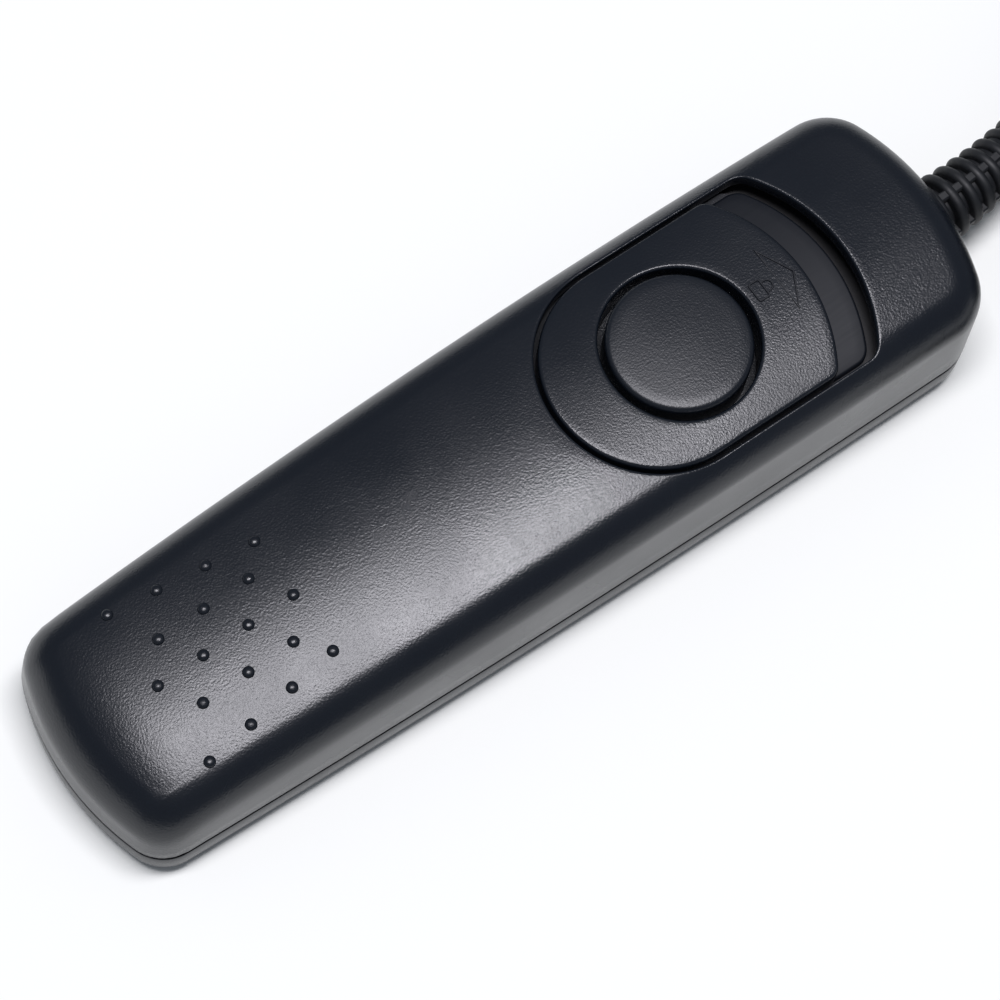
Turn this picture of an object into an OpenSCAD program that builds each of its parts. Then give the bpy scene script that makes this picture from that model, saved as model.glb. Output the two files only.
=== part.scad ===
// Wired two-stage shutter release: a hand-held switch with a sliding bulb lock.
// Millimetres. X runs from the tail to the cable end, Z is up, the button faces up.
// The origin is the middle of the housing's footprint, on the surface it lies on.

/* [Housing] */
// Length of the housing
body_l = 98; // [94:0.5:104]
// Width at the parting line, at the widest place
body_w = 26.8; // [25.6:0.2:29]
// Height of the deck at its crest
body_h = 17; // [16.4:0.1:18.5]
// Wall and roof thickness
wall = 1.4; // [1.2:0.05:1.6]
// Height of the parting line
part_z = 4.4; // [4:0.1:5]
// Gap left showing between the two shells
seam_gap = 0.3; // [0.15:0.05:0.5]
// Height of the tongue that locates the shells
tongue_h = 1.3; // [0.8:0.1:1.8]
// Rounding between wall and deck
shoulder_r = 3.4; // [3:0.1:3.8]
// Rounding under the bottom edge
foot_r = 2; // [1:0.1:2.4]
// Inward lean of the side walls, over their whole height
draft = 0.27; // [0.1:0.01:0.4]
// Bow radius of the long sides
side_bow_r = 1850; // [1200:50:3000]
// Bow radius of the tail end
tail_bow_r = 28; // [24:1:40]
// Bow radius of the cable end
head_bow_r = 32; // [26:1:44]
// Plan radius of the tail corners
tail_corner_r = 4.2; // [4:0.1:6]
// Plan radius of the cable-end corners
head_corner_r = 5.5; // [4.6:0.1:7]

/* [Deck] */
// Distance of the deck's crest from the cable end
crest_back = 19; // [13:0.5:25]
// Lengthwise radius of the deck
ridge_r = 650; // [500:10:900]
// Crosswise radius of the deck
crown_r = 59; // [50:1:80]
// Distance from the tail where the deck starts to fall away
tail_round_l = 8; // [6:0.5:13]
// Radius of that fall
tail_round_r = 16; // [12:1:30]

/* [Grip pips] */
// Distance between pips along a row
pip_pitch = 4.8; // [4:0.1:5.4]
// Distance of the first pips from the tail
pip_inset = 10.3; // [9:0.1:13]
// Distance of the inner rows from the middle
pip_row_y = 3.55; // [3:0.05:4]
// Distance of the splayed outer rows from the middle, at their narrow end
pip_outer_y = 6.2; // [5.8:0.1:6.6]
// Widening of the outer rows at each pip towards the tail
pip_splay = 0.66; // [0:0.02:0.8]
// Ball radius of a pip
pip_r = 0.62; // [0.4:0.02:0.8]
// Height of a pip above the deck
pip_h = 0.34; // [0.2:0.02:0.5]

/* [Button] */
// Distance of the button's axis from the cable end
button_back = 30.5; // [29.5:0.1:31.5]
// Radius of the button cap
cap_r = 6.95; // [6.4:0.05:7.2]
// Rounding of the cap's edge
cap_edge_r = 0.6; // [0.3:0.05:0.8]
// Radius of the cap's shallow dome
cap_dome_r = 90; // [60:5:200]
// Height of the cap above the slider
cap_stand = 0.25; // [0:0.05:0.5]
// Gap round the cap
cap_gap = 0.65; // [0.5:0.05:0.8]
// How far the keeper flange under the cap reaches past its hole
keeper_lap = 0.8; // [0.5:0.05:1]
// Thickness of the keeper flange
keeper_t = 1; // [0.8:0.1:1.2]
// Radius of the plunger that presses the leaves
plunger_r = 2; // [1.6:0.1:2.4]
// Full travel of the button
press = 1.5; // [1.2:0.1:1.6]

/* [Hold slider] */
// Travel of the slider towards HOLD
slide = 4.1; // [3.5:0.1:4.2]
// Strip of deck left at each side of the opening
open_margin = 2.44; // [2.3:0.02:2.8]
// Distance of the opening's front edge from the cable end
open_front_back = 12.1; // [11:0.1:12.5]
// Distance of the opening's rear edge from the cable end
open_tail_back = 44.55; // [44:0.05:45]
// Radius of the opening's front edge
open_front_r = 19; // [17:0.5:24]
// Corner radius at the opening's front
open_corner_r = 1.9; // [1.5:0.1:2.4]
// Gap between the slider plate and the opening
plate_gap = 0.4; // [0.25:0.05:0.6]
// How far the plate lies below the deck
plate_sink = 0.05; // [0:0.01:0.2]
// How far the ledge in front lies below the plate
ledge_drop = 1.9; // [1.5:0.1:2.1]
// Gap between the ledge and the opening's front edge
ledge_front_gap = 0.9; // [0.6:0.1:1.4]
// Gap between the ledge and each side of the opening
ledge_side_gap = 0.56; // [0.46:0.05:0.96]
// How far the retaining flange reaches past the opening at each side
flange_lap = 0.24; // [0.2:0.02:0.3]
// Height of the flange's top above its underside
flange_t = 0.75; // [0.6:0.05:0.9]
// Height of the slider's underside at the button
slider_z = 12.55; // [12.4:0.05:12.7]
// Width of the hold cam
cam_w = 4.4; // [3:0.1:5]

/* [Guide frame] */
// Running gap between slider and guide frame
frame_gap = 0.15; // [0.1:0.05:0.3]
// Thickness of the guide frame
frame_t = 1.2; // [1:0.1:1.4]
// Shank radius of the frame screws
frame_screw_r = 0.7; // [0.6:0.05:0.8]

/* [Leaf switch] */
// Distance of the leaf stack's middle from the cable end
stack_back = 13.5; // [13:0.1:14]
// Length of the leaf stack
stack_l = 7; // [6:0.2:7.4]
// Width of the leaf stack
stack_w = 12; // [11:0.5:12]
// Height of the lowest leaf's underside
leaf_z = 6.9; // [6.6:0.05:7]
// Thickness of each contact leaf
leaf_t = 0.2; // [0.15:0.01:0.25]
// Width of the contact leaves
leaf_w = 5; // [4:0.2:5.6]
// Thickness of the insulating spacers
spacer_t = 0.8; // [0.7:0.05:0.85]
// Thickness of the clamp plate on top
clamp_t = 0.8; // [0.6:0.1:1]
// Shank radius of the stack screws
stack_screw_r = 0.8; // [0.6:0.05:0.9]

/* [Case screws] */
// Shank radius of the case screws
case_screw_r = 1; // [0.9:0.05:1.2]
// Distance of the tail screw from the tail
tail_screw_inset = 9; // [8:0.5:15]
// Distance of the two screws at the cable end from that end
head_screw_inset = 6.5; // [6:0.1:7]
// Their distance from the housing's widest sides
head_screw_side = 4.6; // [4.4:0.1:5]

/* [Cable] */
// Cable diameter
cable_d = 3.6; // [3.2:0.1:4]
// Height of the cable's exit
exit_z = 6.8; // [6.4:0.1:7.2]
// Radius of the strain relief's largest rib
relief_r = 3.6; // [3.3:0.1:4]
// Radius of its last rib
relief_end_r = 2.75; // [2.4:0.05:3]
// Radius of its core
relief_core_r = 2.3; // [2.1:0.05:2.5]
// Distance between ribs
rib_pitch = 1.78; // [1.5:0.02:2]
// Number of ribs
rib_count = 8; // [6:1:10]
// Bend radius of the strain relief as it lies
relief_bend_r = 60; // [50:5:120]

/* [Plug] */
// Radius of the plug's contacts, a 2.5 mm three-pole jack
jack_r = 1.25; // [1.25]
// Length of the jack in front of its grip
jack_l = 11; // [11]
// Radius of the plug's grip
grip_r = 3.6; // [3.2:0.1:4.2]
// Length of the plug's grip
grip_l = 15; // [12:0.5:18]
// Length of the plug's strain relief
plug_relief_l = 10; // [8:0.5:12]

/* [Hidden] */
black = [0.07, 0.07, 0.08];
soft_black = [0.10, 0.10, 0.11];
brown_board = [0.45, 0.28, 0.16];
steel = [0.72, 0.73, 0.75];
brass = [0.80, 0.66, 0.36];
silver = [0.85, 0.85, 0.84];
$fn = 48;
touch = 0.05;      // clearance of parts that seat against each other
far = 100;         // longer than any cut needs
tail_end_x = -body_l / 2;
head_end_x = body_l / 2;

// ---- plan outline of the housing -------------------------------------------------------------
// Each end is a shallow bow, each side a longer one, with a tangent arc at every corner.
bow_steps = 4;
corner_steps = 6;
side_steps = 14;
widest_x = head_end_x - 22;
tail_mid = [tail_end_x + tail_bow_r, 0];
head_mid = [head_end_x - head_bow_r, 0];
side_mid = [widest_x, body_w / 2 - side_bow_r];

function dir(a) = [cos(a), sin(a)];
function heading(v) = atan2(v.y, v.x);
// Where two circles meet, on the left of the line between them for side = 1
function meet(a, ra, b, rb, side) =
    let (d = norm(b - a))
    let (u = (b - a) / d)
    let (t = (d * d + ra * ra - rb * rb) / (2 * d))
    a + t * u + side * sqrt(ra * ra - t * t) * [-u.y, u.x];
function arc(mid, r, from, to, steps, skip = 1) =
    [for (i = [skip : steps]) mid + r * dir(from + (to - from) * i / steps)];
function mirrored(half) = [for (i = [len(half) - 2 : -1 : 1]) [half[i].x, -half[i].y]];

tail_corner = meet(tail_mid, tail_bow_r - tail_corner_r, side_mid, side_bow_r - tail_corner_r, -1);
head_corner = meet(head_mid, head_bow_r - head_corner_r, side_mid, side_bow_r - head_corner_r, 1);
tail_bow_a = heading(tail_corner - tail_mid);
tail_side_a = heading(tail_corner - side_mid);
head_side_a = heading(head_corner - side_mid);
head_bow_a = heading(head_corner - head_mid);

function half_outline(inset) = concat(
    arc(tail_mid, tail_bow_r - inset, 180, tail_bow_a, bow_steps, 0),
    arc(tail_corner, tail_corner_r - inset, tail_bow_a, tail_side_a, corner_steps),
    arc(side_mid, side_bow_r - inset, tail_side_a, head_side_a, side_steps),
    arc(head_corner, head_corner_r - inset, head_side_a, head_bow_a, corner_steps),
    arc(head_mid, head_bow_r - inset, head_bow_a, 0, bow_steps));
function outline(inset) = let (half = half_outline(inset)) concat(half, mirrored(half));

// ---- deck and lofted housing form ------------------------------------------------------------
crest_x = head_end_x - crest_back;
tail_round_x = tail_end_x + tail_round_l;
function sq(v) = v * v;
function deck(x, y) = body_h - sq(x - crest_x) / (2 * ridge_r) - sq(y) / (2 * crown_r)
    - sq(max(0, tail_round_x - x)) / (2 * tail_round_r);

function flat_ring(inset, z) = [for (p = outline(inset)) [p.x, p.y, z]];
// Ring on the rounded shoulder: lift 0 is the top of the wall, 90 the edge of the deck
function shoulder_ring(inset, drop, r, lift) = [for (p = outline(inset + draft + r * (1 - cos(lift))))
    [p.x, p.y, deck(p.x, p.y) - drop - r * (1 - sin(lift))]];
// The deck's edge drawn in towards the middle
function deck_ring(inset, drop, r, share) = [for (p = share * outline(inset + draft + r))
    [p.x, p.y, deck(p.x, p.y) - drop]];

// Closed skin over rings of equal length, which start and end on the centre line
module skin(rings) {
    n = len(rings[0]);
    top = (len(rings) - 1) * n;
    walls = [for (r = [0 : len(rings) - 2]) for (i = [0 : n - 1]) let (j = (i + 1) % n)
        each [[r * n + j, (r + 1) * n + j, (r + 1) * n + i], [r * n + j, (r + 1) * n + i, r * n + i]]];
    floor_face = [[for (i = [n - 1 : -1 : 0]) i]];
    strips = [for (i = [1 : n / 2 - 2]) [top + i, top + i + 1, top + n - i - 1, top + n - i]];
    ends = [[top, top + 1, top + n - 1], [top + n / 2 - 1, top + n / 2, top + n / 2 + 1]];
    polyhedron([for (ring = rings) each ring], concat(walls, floor_face, strips, ends), 4);
}

// The housing's domed form above height z, drawn in by inset and down by drop
module deck_form(inset, drop, z, steps, shares) {
    r = shoulder_r - inset;
    skin(concat([flat_ring(inset, z)],
        [for (i = [0 : steps]) shoulder_ring(inset, drop, r, 90 * i / steps)],
        [for (share = shares) deck_ring(inset, drop, r, share)]));
}

module slab(inset, z0, z1) {
    translate([0, 0, z0])
        linear_extrude(z1 - z0)
            polygon(outline(inset));
}

// ---- slider outlines -------------------------------------------------------------------------
// A D lying down: a half round tail, straight sides, a bowed front with rounded corners
function d_half(half, tail_x, front_x, front_r, corner, inset) =
    let (front_mid = [front_x - front_r, 0])
    let (k = [front_mid.x + sqrt(sq(front_r - corner) - sq(half - corner)), half - corner])
    let (a = heading(k - front_mid))
    concat(arc([tail_x + half, 0], half - inset, 180, 90, 14, 0),
        arc(k, corner - inset, 90, a, 5, 0),
        arc(front_mid, front_r - inset, a, 0, 8));
module d_shape(half, tail_x, front_x, front_r, corner, inset = 0) {
    pts = d_half(half, tail_x, front_x, front_r, corner, inset);
    polygon(concat(pts, mirrored(pts)));
}

button_x = head_end_x - button_back;
open_half = body_w / 2 - open_margin;
open_front_x = head_end_x - open_front_back;
open_tail_x = head_end_x - open_tail_back;
ledge_front_x = open_front_x - ledge_front_gap;
ledge_half = open_half - ledge_side_gap;

// The slider's top follows the deck from the plate's tail to its front
plate_front_x = open_front_x - plate_gap - slide;
plate_tail_x = open_tail_x + plate_gap;
deck_slope = atan((deck(plate_front_x, 0) - deck(plate_tail_x, 0)) / (plate_front_x - plate_tail_x));
plate_z = deck(plate_tail_x, 0) - plate_sink + tan(deck_slope) * (button_x - plate_tail_x);
hole_r = cap_r + cap_gap;

// Places children on the slider's own slope, with its height at the button at z
module on_slope(z) {
    translate([button_x, 0, z])
        rotate([0, -deck_slope, 0])
            translate([-button_x, 0, 0])
                children();
}

// Everything under the slider's crown, lowered by drop
module below_crown(drop) {
    on_slope(plate_z - drop - crown_r)
        rotate([0, 90, 0])
            cylinder(r = crown_r, h = 3 * far, center = true, $fn = 360);
}

module above_slope(z) {
    on_slope(z)
        translate([-far, -far, 0])
            cube([3 * far, 2 * far, far]);
}

// ---- housing ---------------------------------------------------------------------------------
shell_bottom = part_z + seam_gap / 2;
tray_top = part_z - seam_gap / 2;
tongue_top = part_z + tongue_h;
tongue_w = wall / 2 - touch;
neck_r = 2.9;
neck_gap = 0.1;
saddle_z = part_z + 0.8;
boss_r = 2.3;
post_r = 2.9;
post_top = 5.8;
head_h = 1.3;
case_head_r = 1.9;
head_sink = 0.5;
head_screw_y = body_w / 2 - head_screw_side;
case_screws_at = concat([[tail_end_x + tail_screw_inset, 0]],
    [for (side = [1, -1]) [head_end_x - head_screw_inset, side * head_screw_y]]);
// The guide frame reaches past the opening at its tail, and runs out to an ear between the head bosses
frame_post_r = 1.7;
frame_side_gap = 0.8;
frame_tail_reach = 9.95;
frame_head_gap = 5.6;
frame_ear_l = 4;
frame_screw_edge = 2.5;
frame_screw_side = 3.7;
frame_ear_edge = 1.5;
frame_boss_gap = 0.6;
frame_top = slider_z - frame_gap;
frame_tail_x = open_tail_x - frame_tail_reach;
frame_head_x = head_end_x - frame_head_gap;
frame_half = body_w / 2 - wall - frame_side_gap;
frame_ear_x = frame_head_x - frame_ear_l;
frame_ear_screw_y = head_screw_y - boss_r - 2 * frame_screw_r - frame_boss_gap;
frame_ear_half = frame_ear_screw_y + frame_post_r;
frame_screws_at = concat(
    [for (side = [1, -1]) [frame_tail_x + frame_screw_edge, side * (frame_half - frame_screw_side)]],
    [for (side = [1, -1]) [frame_head_x - frame_ear_edge, side * frame_ear_screw_y]]);
frame_post_l = 2.9;
frame_screw_l = 2.2;
frame_head_h = 0.9;
thread_gap = 0.03;
boot_wall_x = head_end_x - wall;

module opening_cut() {
    translate([0, 0, part_z])
        linear_extrude(far)
            d_shape(open_half, open_tail_x, open_front_x, open_front_r, open_corner_r);
}

// Grip pips: a middle row, two inner rows set half a pitch on, two splayed outer rows
pip_x = tail_end_x + pip_inset;
pip_places = concat(
    [for (i = [0 : 3]) [pip_x + i * pip_pitch, 0]],
    [for (i = [0 : 2], side = [-1, 1]) [pip_x + (i + 0.5) * pip_pitch, side * pip_row_y]],
    [for (i = [0 : 3], side = [-1, 1]) [pip_x + i * pip_pitch, side * (pip_outer_y + (3 - i) * pip_splay)]]);

module pips() {
    for (p = pip_places)
        translate([p.x, p.y, deck(p.x, p.y) + pip_h - pip_r])
            sphere(r = pip_r, $fn = 20);
}

// Slot for the strain relief's neck, open towards the parting line
module neck_slot(r) {
    translate([relief_flange_x, 0, exit_z])
        rotate([0, 90, 0])
            cylinder(r = r, h = far);
}

module case_bosses() {
    for (p = case_screws_at)
        translate([p.x, p.y, post_top])
            cylinder(r = boss_r, h = deck(p.x, p.y) - 0.8 - post_top);
}

module frame_posts() {
    on_slope(frame_top)
        for (p = frame_screws_at)
            translate(p)
                cylinder(r = frame_post_r, h = frame_post_l);
}

module screw_bores() {
    for (p = case_screws_at)
        translate([p.x, p.y, 0])
            cylinder(r = case_screw_r, h = deck(p.x, p.y) - 2);
    on_slope(frame_top)
        for (p = frame_screws_at)
            translate([p.x, p.y, -1])
                cylinder(r = frame_screw_r, h = frame_screw_l + 1);
}

module top_shell() {
    color(black)
        difference() {
            union() {
                difference() {
                    deck_form(0, 0, shell_bottom, 4, [0.9, 0.6, 0.3]);
                    deck_form(wall, wall, shell_bottom - 1, 2, [0.9, 0.5]);
                }
                case_bosses();
                frame_posts();
                pips();
            }
            opening_cut();
            slab(wall - tongue_w - 2 * touch, part_z - 1, tongue_top + touch);
            neck_slot(neck_r + neck_gap);
            translate([relief_flange_x, -neck_r - neck_gap, part_z - 1])
                cube([far, 2 * (neck_r + neck_gap), exit_z - part_z + 1]);
            screw_bores();
        }
}

function foot_ring(lift) =
    flat_ring(foot_r * (1 - cos(lift)), foot_r * (1 - sin(lift)));

module tray_form() {
    skin(concat([for (lift = [90, 60, 30, 0]) foot_ring(lift)], [flat_ring(0, tray_top)]));
}

stack_x = head_end_x - stack_back;
fence_h = 1.5;
cable_rib_w = 10;
cable_rib_t = 0.9;
cable_rib_gap = 0.1;

// Fence that locates the leaf stack on the floor
module stack_fence() {
    gap = 0.2;
    translate([stack_x, 0, wall])
        linear_extrude(fence_h)
            difference() {
                square([stack_l + 2 * gap + 2, stack_w + 2 * gap + 2], center = true);
                square([stack_l + 2 * gap, stack_w + 2 * gap], center = true);
            }
}

// Rib behind the strain relief's flange, with a notch for the cable
module cable_rib() {
    translate([relief_flange_x - cable_rib_gap - cable_rib_t, -cable_rib_w / 2, wall - touch])
        cube([cable_rib_t, cable_rib_w, exit_z - wall]);
}

module bottom_shell() {
    color(black)
        difference() {
            union() {
                difference() {
                    tray_form();
                    slab(wall, wall, far);
                }
                difference() {
                    slab(wall - tongue_w, tray_top - 1, tongue_top);
                    slab(wall, tray_top - 2, far);
                }
                for (p = case_screws_at)
                    translate([p.x, p.y, wall - touch])
                        cylinder(r = post_r, h = post_top - wall + touch);
                stack_fence();
                cable_rib();
                intersection() {
                    slab(touch, part_z - 1, saddle_z);
                    translate([boot_wall_x, touch - neck_r, part_z - 1])
                        cube([far, 2 * (neck_r - touch), saddle_z - part_z + 1]);
                }
            }
            neck_slot(neck_r + neck_gap);
            translate([boot_wall_x - far / 2, 0, exit_z])
                rotate([0, 90, 0])
                    cylinder(r = cable_d / 2 + neck_gap, h = far / 2);
            for (p = case_screws_at) {
                translate([p.x, p.y, -1])
                    cylinder(r = case_screw_r + neck_gap, h = far);
                translate([p.x, p.y, -1])
                    cylinder(r = case_head_r + neck_gap, h = 1 + head_sink + head_h);
            }
        }
}

module case_screws() {
    color(steel)
        for (p = case_screws_at)
            translate([p.x, p.y, head_sink])
                union() {
                    difference() {
                        cylinder(r = case_head_r, h = head_h);
                        cross_slot(case_head_r - 0.3, 0.7);
                    }
                    cylinder(r = case_screw_r, h = deck(p.x, p.y) - 3 - head_sink);
                }
}

// Cross recess cut up into a screw head that faces down
module cross_slot(length, depth) {
    for (turn = [0, 90])
        rotate(turn)
            translate([-length / 2, -0.2, -1])
                cube([length, 0.4, 1 + depth]);
}

// ---- slider, button and guide frame ----------------------------------------------------------
flange_half = open_half + flange_lap;
flange_tail_x = open_tail_x - slide - 0.85;
flange_front_x = ledge_front_x - 0.5;
ledge_r = 20;
cam_x = button_x - 12.9;
cam_l = 2.8;
cam_bottom = leaf_z + 3 * leaf_t + 2 * spacer_t - 0.2;
keeper_r = hole_r + keeper_lap;
keeper_gap = 0.15;
keeper_top = slider_z - keeper_r * tan(deck_slope) - keeper_gap;
common_z = leaf_z + 2 * (leaf_t + spacer_t);
plunger_z = common_z + leaf_t + touch;

module hold_slider() {
    color(black)
        difference() {
            union() {
                intersection() {
                    linear_extrude(far)
                        d_shape(open_half, open_tail_x, open_front_x - slide, open_front_r,
                            open_corner_r, plate_gap);
                    below_crown(0);
                    above_slope(slider_z);
                }
                intersection() {
                    linear_extrude(far)
                        d_shape(ledge_half, plate_tail_x + 1, ledge_front_x, ledge_r, open_corner_r);
                    below_crown(ledge_drop);
                    above_slope(slider_z);
                }
                on_slope(slider_z)
                    linear_extrude(flange_t)
                        d_shape(flange_half, flange_tail_x, flange_front_x, ledge_r, open_corner_r);
                hold_cam();
            }
            translate([button_x, 0, 0])
                cylinder(r = hole_r, h = far);
        }
}

// Cam under the slider: slid towards HOLD, its ramp rides onto the common leaf's turned-up tip
module hold_cam() {
    translate([0, cam_w / 2, 0])
        rotate([90, 0, 0])
            linear_extrude(cam_w)
                polygon([[cam_x, slider_z + touch], [cam_x, cam_bottom], [cam_x + cam_l / 2, cam_bottom],
                    [cam_x + cam_l, cam_bottom + 1.7], [cam_x + cam_l, slider_z + touch]]);
}

cap_top = plate_z + cap_stand;

module shutter_button() {
    color(black)
        translate([button_x, 0, 0])
            union() {
                intersection() {
                    rotate_extrude($fn = 96)
                        cap_profile();
                    translate([0, 0, cap_top - cap_dome_r])
                        sphere(r = cap_dome_r, $fn = 360);
                }
                translate([0, 0, keeper_top - keeper_t])
                    cylinder(r = keeper_r, h = keeper_t);
                translate([0, 0, plunger_z])
                    cylinder(r = plunger_r, h = keeper_top - plunger_z);
            }
}

// Half section of the cap, with its rounded edge
module cap_profile() {
    rim_z = cap_top - sq(cap_r) / (2 * cap_dome_r) - cap_edge_r;
    base_z = keeper_top - keeper_t;
    translate([0, base_z])
        square([cap_r, rim_z - base_z]);
    translate([0, base_z])
        square([cap_r - cap_edge_r, cap_top - base_z]);
    translate([cap_r - cap_edge_r, rim_z])
        circle(r = cap_edge_r);
}

frame_clear = 0.4;

module guide_frame() {
    color(soft_black)
        on_slope(frame_top - frame_t)
            linear_extrude(frame_t)
                difference() {
                    union() {
                        translate([frame_tail_x, -frame_half])
                            square([frame_ear_x - frame_tail_x, 2 * frame_half]);
                        translate([frame_ear_x - 1, -frame_ear_half])
                            square([frame_head_x - frame_ear_x + 1, 2 * frame_ear_half]);
                    }
                    for (x = [0, slide])
                        translate([button_x + x, 0])
                            circle(r = keeper_r + frame_clear);
                    translate([button_x, -keeper_r - frame_clear])
                        square([slide, 2 * (keeper_r + frame_clear)]);
                    translate([cam_x - frame_clear, -cam_w / 2 - frame_clear])
                        square([button_x - cam_x, cam_w + 2 * frame_clear]);
                    for (p = frame_screws_at)
                        translate(p)
                            circle(r = frame_screw_r + neck_gap);
                }
}

module frame_screws() {
    color(steel)
        on_slope(frame_top - frame_t)
            for (p = frame_screws_at)
                translate([p.x, p.y, -frame_head_h])
                    union() {
                        cylinder(r = 2 * frame_screw_r, h = frame_head_h);
                        cylinder(r = frame_screw_r - thread_gap, h = frame_head_h + frame_t + frame_screw_l - touch);
                    }
}

// ---- leaf switch -----------------------------------------------------------------------------
stack_screw_y = 4.2;
stack_screw_z = wall + 1;
stack_head_r = 1.5;
stack_head_h = 0.9;
stack_top = common_z + leaf_t + clamp_t;
leaf_root_x = stack_x + stack_l / 2;
tag_l = 2.6;
tag_w = 1.4;
tag_step = 1.8;
lead_r = 0.45;

module stack_block(z0, z1) {
    difference() {
        translate([stack_x - stack_l / 2, -stack_w / 2, z0])
            cube([stack_l, stack_w, z1 - z0]);
        stack_screw_holes();
    }
}

module stack_screw_holes() {
    for (side = [-1, 1])
        translate([stack_x, side * stack_screw_y, stack_screw_z])
            cylinder(r = stack_screw_r, h = far);
}

module switch_base() {
    color(brown_board)
        stack_block(wall, leaf_z);
}

module lower_spacer() {
    color(brown_board)
        stack_block(leaf_z + leaf_t, leaf_z + leaf_t + spacer_t);
}

module upper_spacer() {
    color(brown_board)
        stack_block(common_z - spacer_t, common_z);
}

module clamp_plate() {
    color(steel)
        stack_block(common_z + leaf_t, stack_top);
}

module stack_screws() {
    color(steel)
        for (side = [-1, 1])
            translate([stack_x, side * stack_screw_y, 0])
                union() {
                    translate([0, 0, stack_screw_z])
                        cylinder(r = stack_screw_r, h = stack_top - stack_screw_z);
                    translate([0, 0, stack_top])
                        difference() {
                            cylinder(r = stack_head_r, h = stack_head_h);
                            translate([0, 0, stack_head_h])
                                mirror([0, 0, 1])
                                    cross_slot(stack_head_r + 0.1, 0.5);
                        }
                }
}

// A contact leaf: a strip that runs back to its clamped end, with a solder tag behind
module leaf(z, tip_x, tag_y) {
    translate([tip_x, -leaf_w / 2, z])
        cube([leaf_root_x - tip_x, leaf_w, leaf_t]);
    translate([leaf_root_x - 1, tag_y - tag_w / 2, z])
        cube([tag_l + 1, tag_w, leaf_t]);
}

module shutter_leaf() {
    color(brass)
        leaf(leaf_z, button_x - 2, -tag_step);
}

module focus_leaf() {
    color(brass)
        leaf(leaf_z + leaf_t + spacer_t, button_x - 2, 0);
}

// The common leaf's tip turns up in front of the hold cam
module common_leaf() {
    color(brass) {
        leaf(common_z, button_x - 4.5, tag_step);
        translate([button_x - 4.5, leaf_w / 2, common_z])
            rotate([90, 0, 0])
                linear_extrude(leaf_w)
                    polygon([[0, 0], [0, leaf_t], [-3, leaf_t + 1.3], [-3.1, 1.3]]);
    }
}

module contact_rivets() {
    color(silver)
        for (z = [leaf_z + leaf_t, common_z - spacer_t])
            translate([button_x, 0, z])
                cylinder(r = 0.9, h = 0.25);
}

tag_end_x = leaf_root_x + tag_l;
solder_l = 1.4;
solder_r = 0.6;
solder_lift = 0.3;
tags = [[-tag_step, leaf_z], [0, leaf_z + leaf_t + spacer_t], [tag_step, common_z]];

// Beads of solder along the ends of the tags, flat where they wet them
module solder_joints() {
    color(silver)
        for (tag = tags)
            intersection() {
                translate([tag_end_x - solder_l, tag.x, tag.y + leaf_t + solder_lift])
                    rotate([0, 90, 0])
                        cylinder(r = solder_r, h = solder_l, $fn = 32);
                translate([tag_end_x - 2 * solder_l, tag.x - 1, tag.y + leaf_t])
                    cube([3 * solder_l, 2, 2]);
            }
}

// ---- cable entry -----------------------------------------------------------------------------
relief_flange_x = head_end_x - 3.2;
relief_flange_t = 1.4;
relief_flange_r = 4.2;
cable_end_x = relief_flange_x - 2;
core_spots = [[-0.8, 0.45], [0, -0.85], [0.8, 0.45]];

// An insulated core from a solder joint to the cable's end
module lead(i) {
    from = [tag_end_x, tags[i].x, tags[i].y + leaf_t + solder_lift];
    end = [cable_end_x, core_spots[i].x, exit_z + core_spots[i].y];
    reach = [0.5, 0, 0];
    tube([from, from + reach, end - reach, end], lead_r);
}

module shutter_lead() {
    color("white")
        lead(0);
}

module focus_lead() {
    color("gold")
        lead(1);
}

module common_lead() {
    color("firebrick")
        lead(2);
}

module cable_inner_end() {
    color(soft_black)
        translate([cable_end_x, 0, exit_z])
            rotate([0, 90, 0])
                cylinder(r = cable_d / 2, h = relief_flange_x - cable_end_x);
}

// Strain relief: a ribbed sleeve that bends gently to one side, on a neck and a flange
relief_start = head_end_x + 0.5;
relief_l = rib_count * rib_pitch + 1.6;
relief_turn = relief_l / relief_bend_r * 180 / PI;
rib_t = 1.1;
bridge_w = 0.9;

// Places children at distance s along the bent sleeve, facing along it
module along_relief(s) {
    a = s / relief_bend_r * 180 / PI;
    translate([relief_start + relief_bend_r * sin(a), relief_bend_r * (1 - cos(a)), exit_z])
        rotate([0, 90, a])
            children();
}

module sleeve(outer) {
    translate([relief_start, relief_bend_r, exit_z])
        rotate(-90)
            rotate_extrude(angle = relief_turn, $fn = 360)
                translate([relief_bend_r, 0])
                    children();
}

function rib_r(i) = relief_r + (relief_end_r - relief_r) * i / (rib_count - 1);

module rib(r) {
    rotate_extrude()
        union() {
            translate([0, -rib_t / 2])
                square([r - rib_t / 2, rib_t]);
            translate([r - rib_t / 2, 0])
                circle(r = rib_t / 2, $fn = 24);
        }
}

module strain_relief() {
    color(soft_black)
        union() {
            translate([relief_flange_x, 0, exit_z])
                rotate([0, 90, 0]) {
                    cylinder(r = relief_flange_r, h = relief_flange_t);
                    cylinder(r = neck_r, h = relief_start - relief_flange_x);
                }
            sleeve()
                circle(r = relief_core_r, $fn = 32);
            sleeve()
                square([bridge_w, 2 * (relief_end_r - 0.25)], center = true);
            sleeve()
                square([2 * (relief_end_r - 0.25), bridge_w], center = true);
            for (i = [0 : rib_count - 1])
                along_relief((i + 0.5) * rib_pitch)
                    rib(rib_r(i));
        }
}

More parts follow.
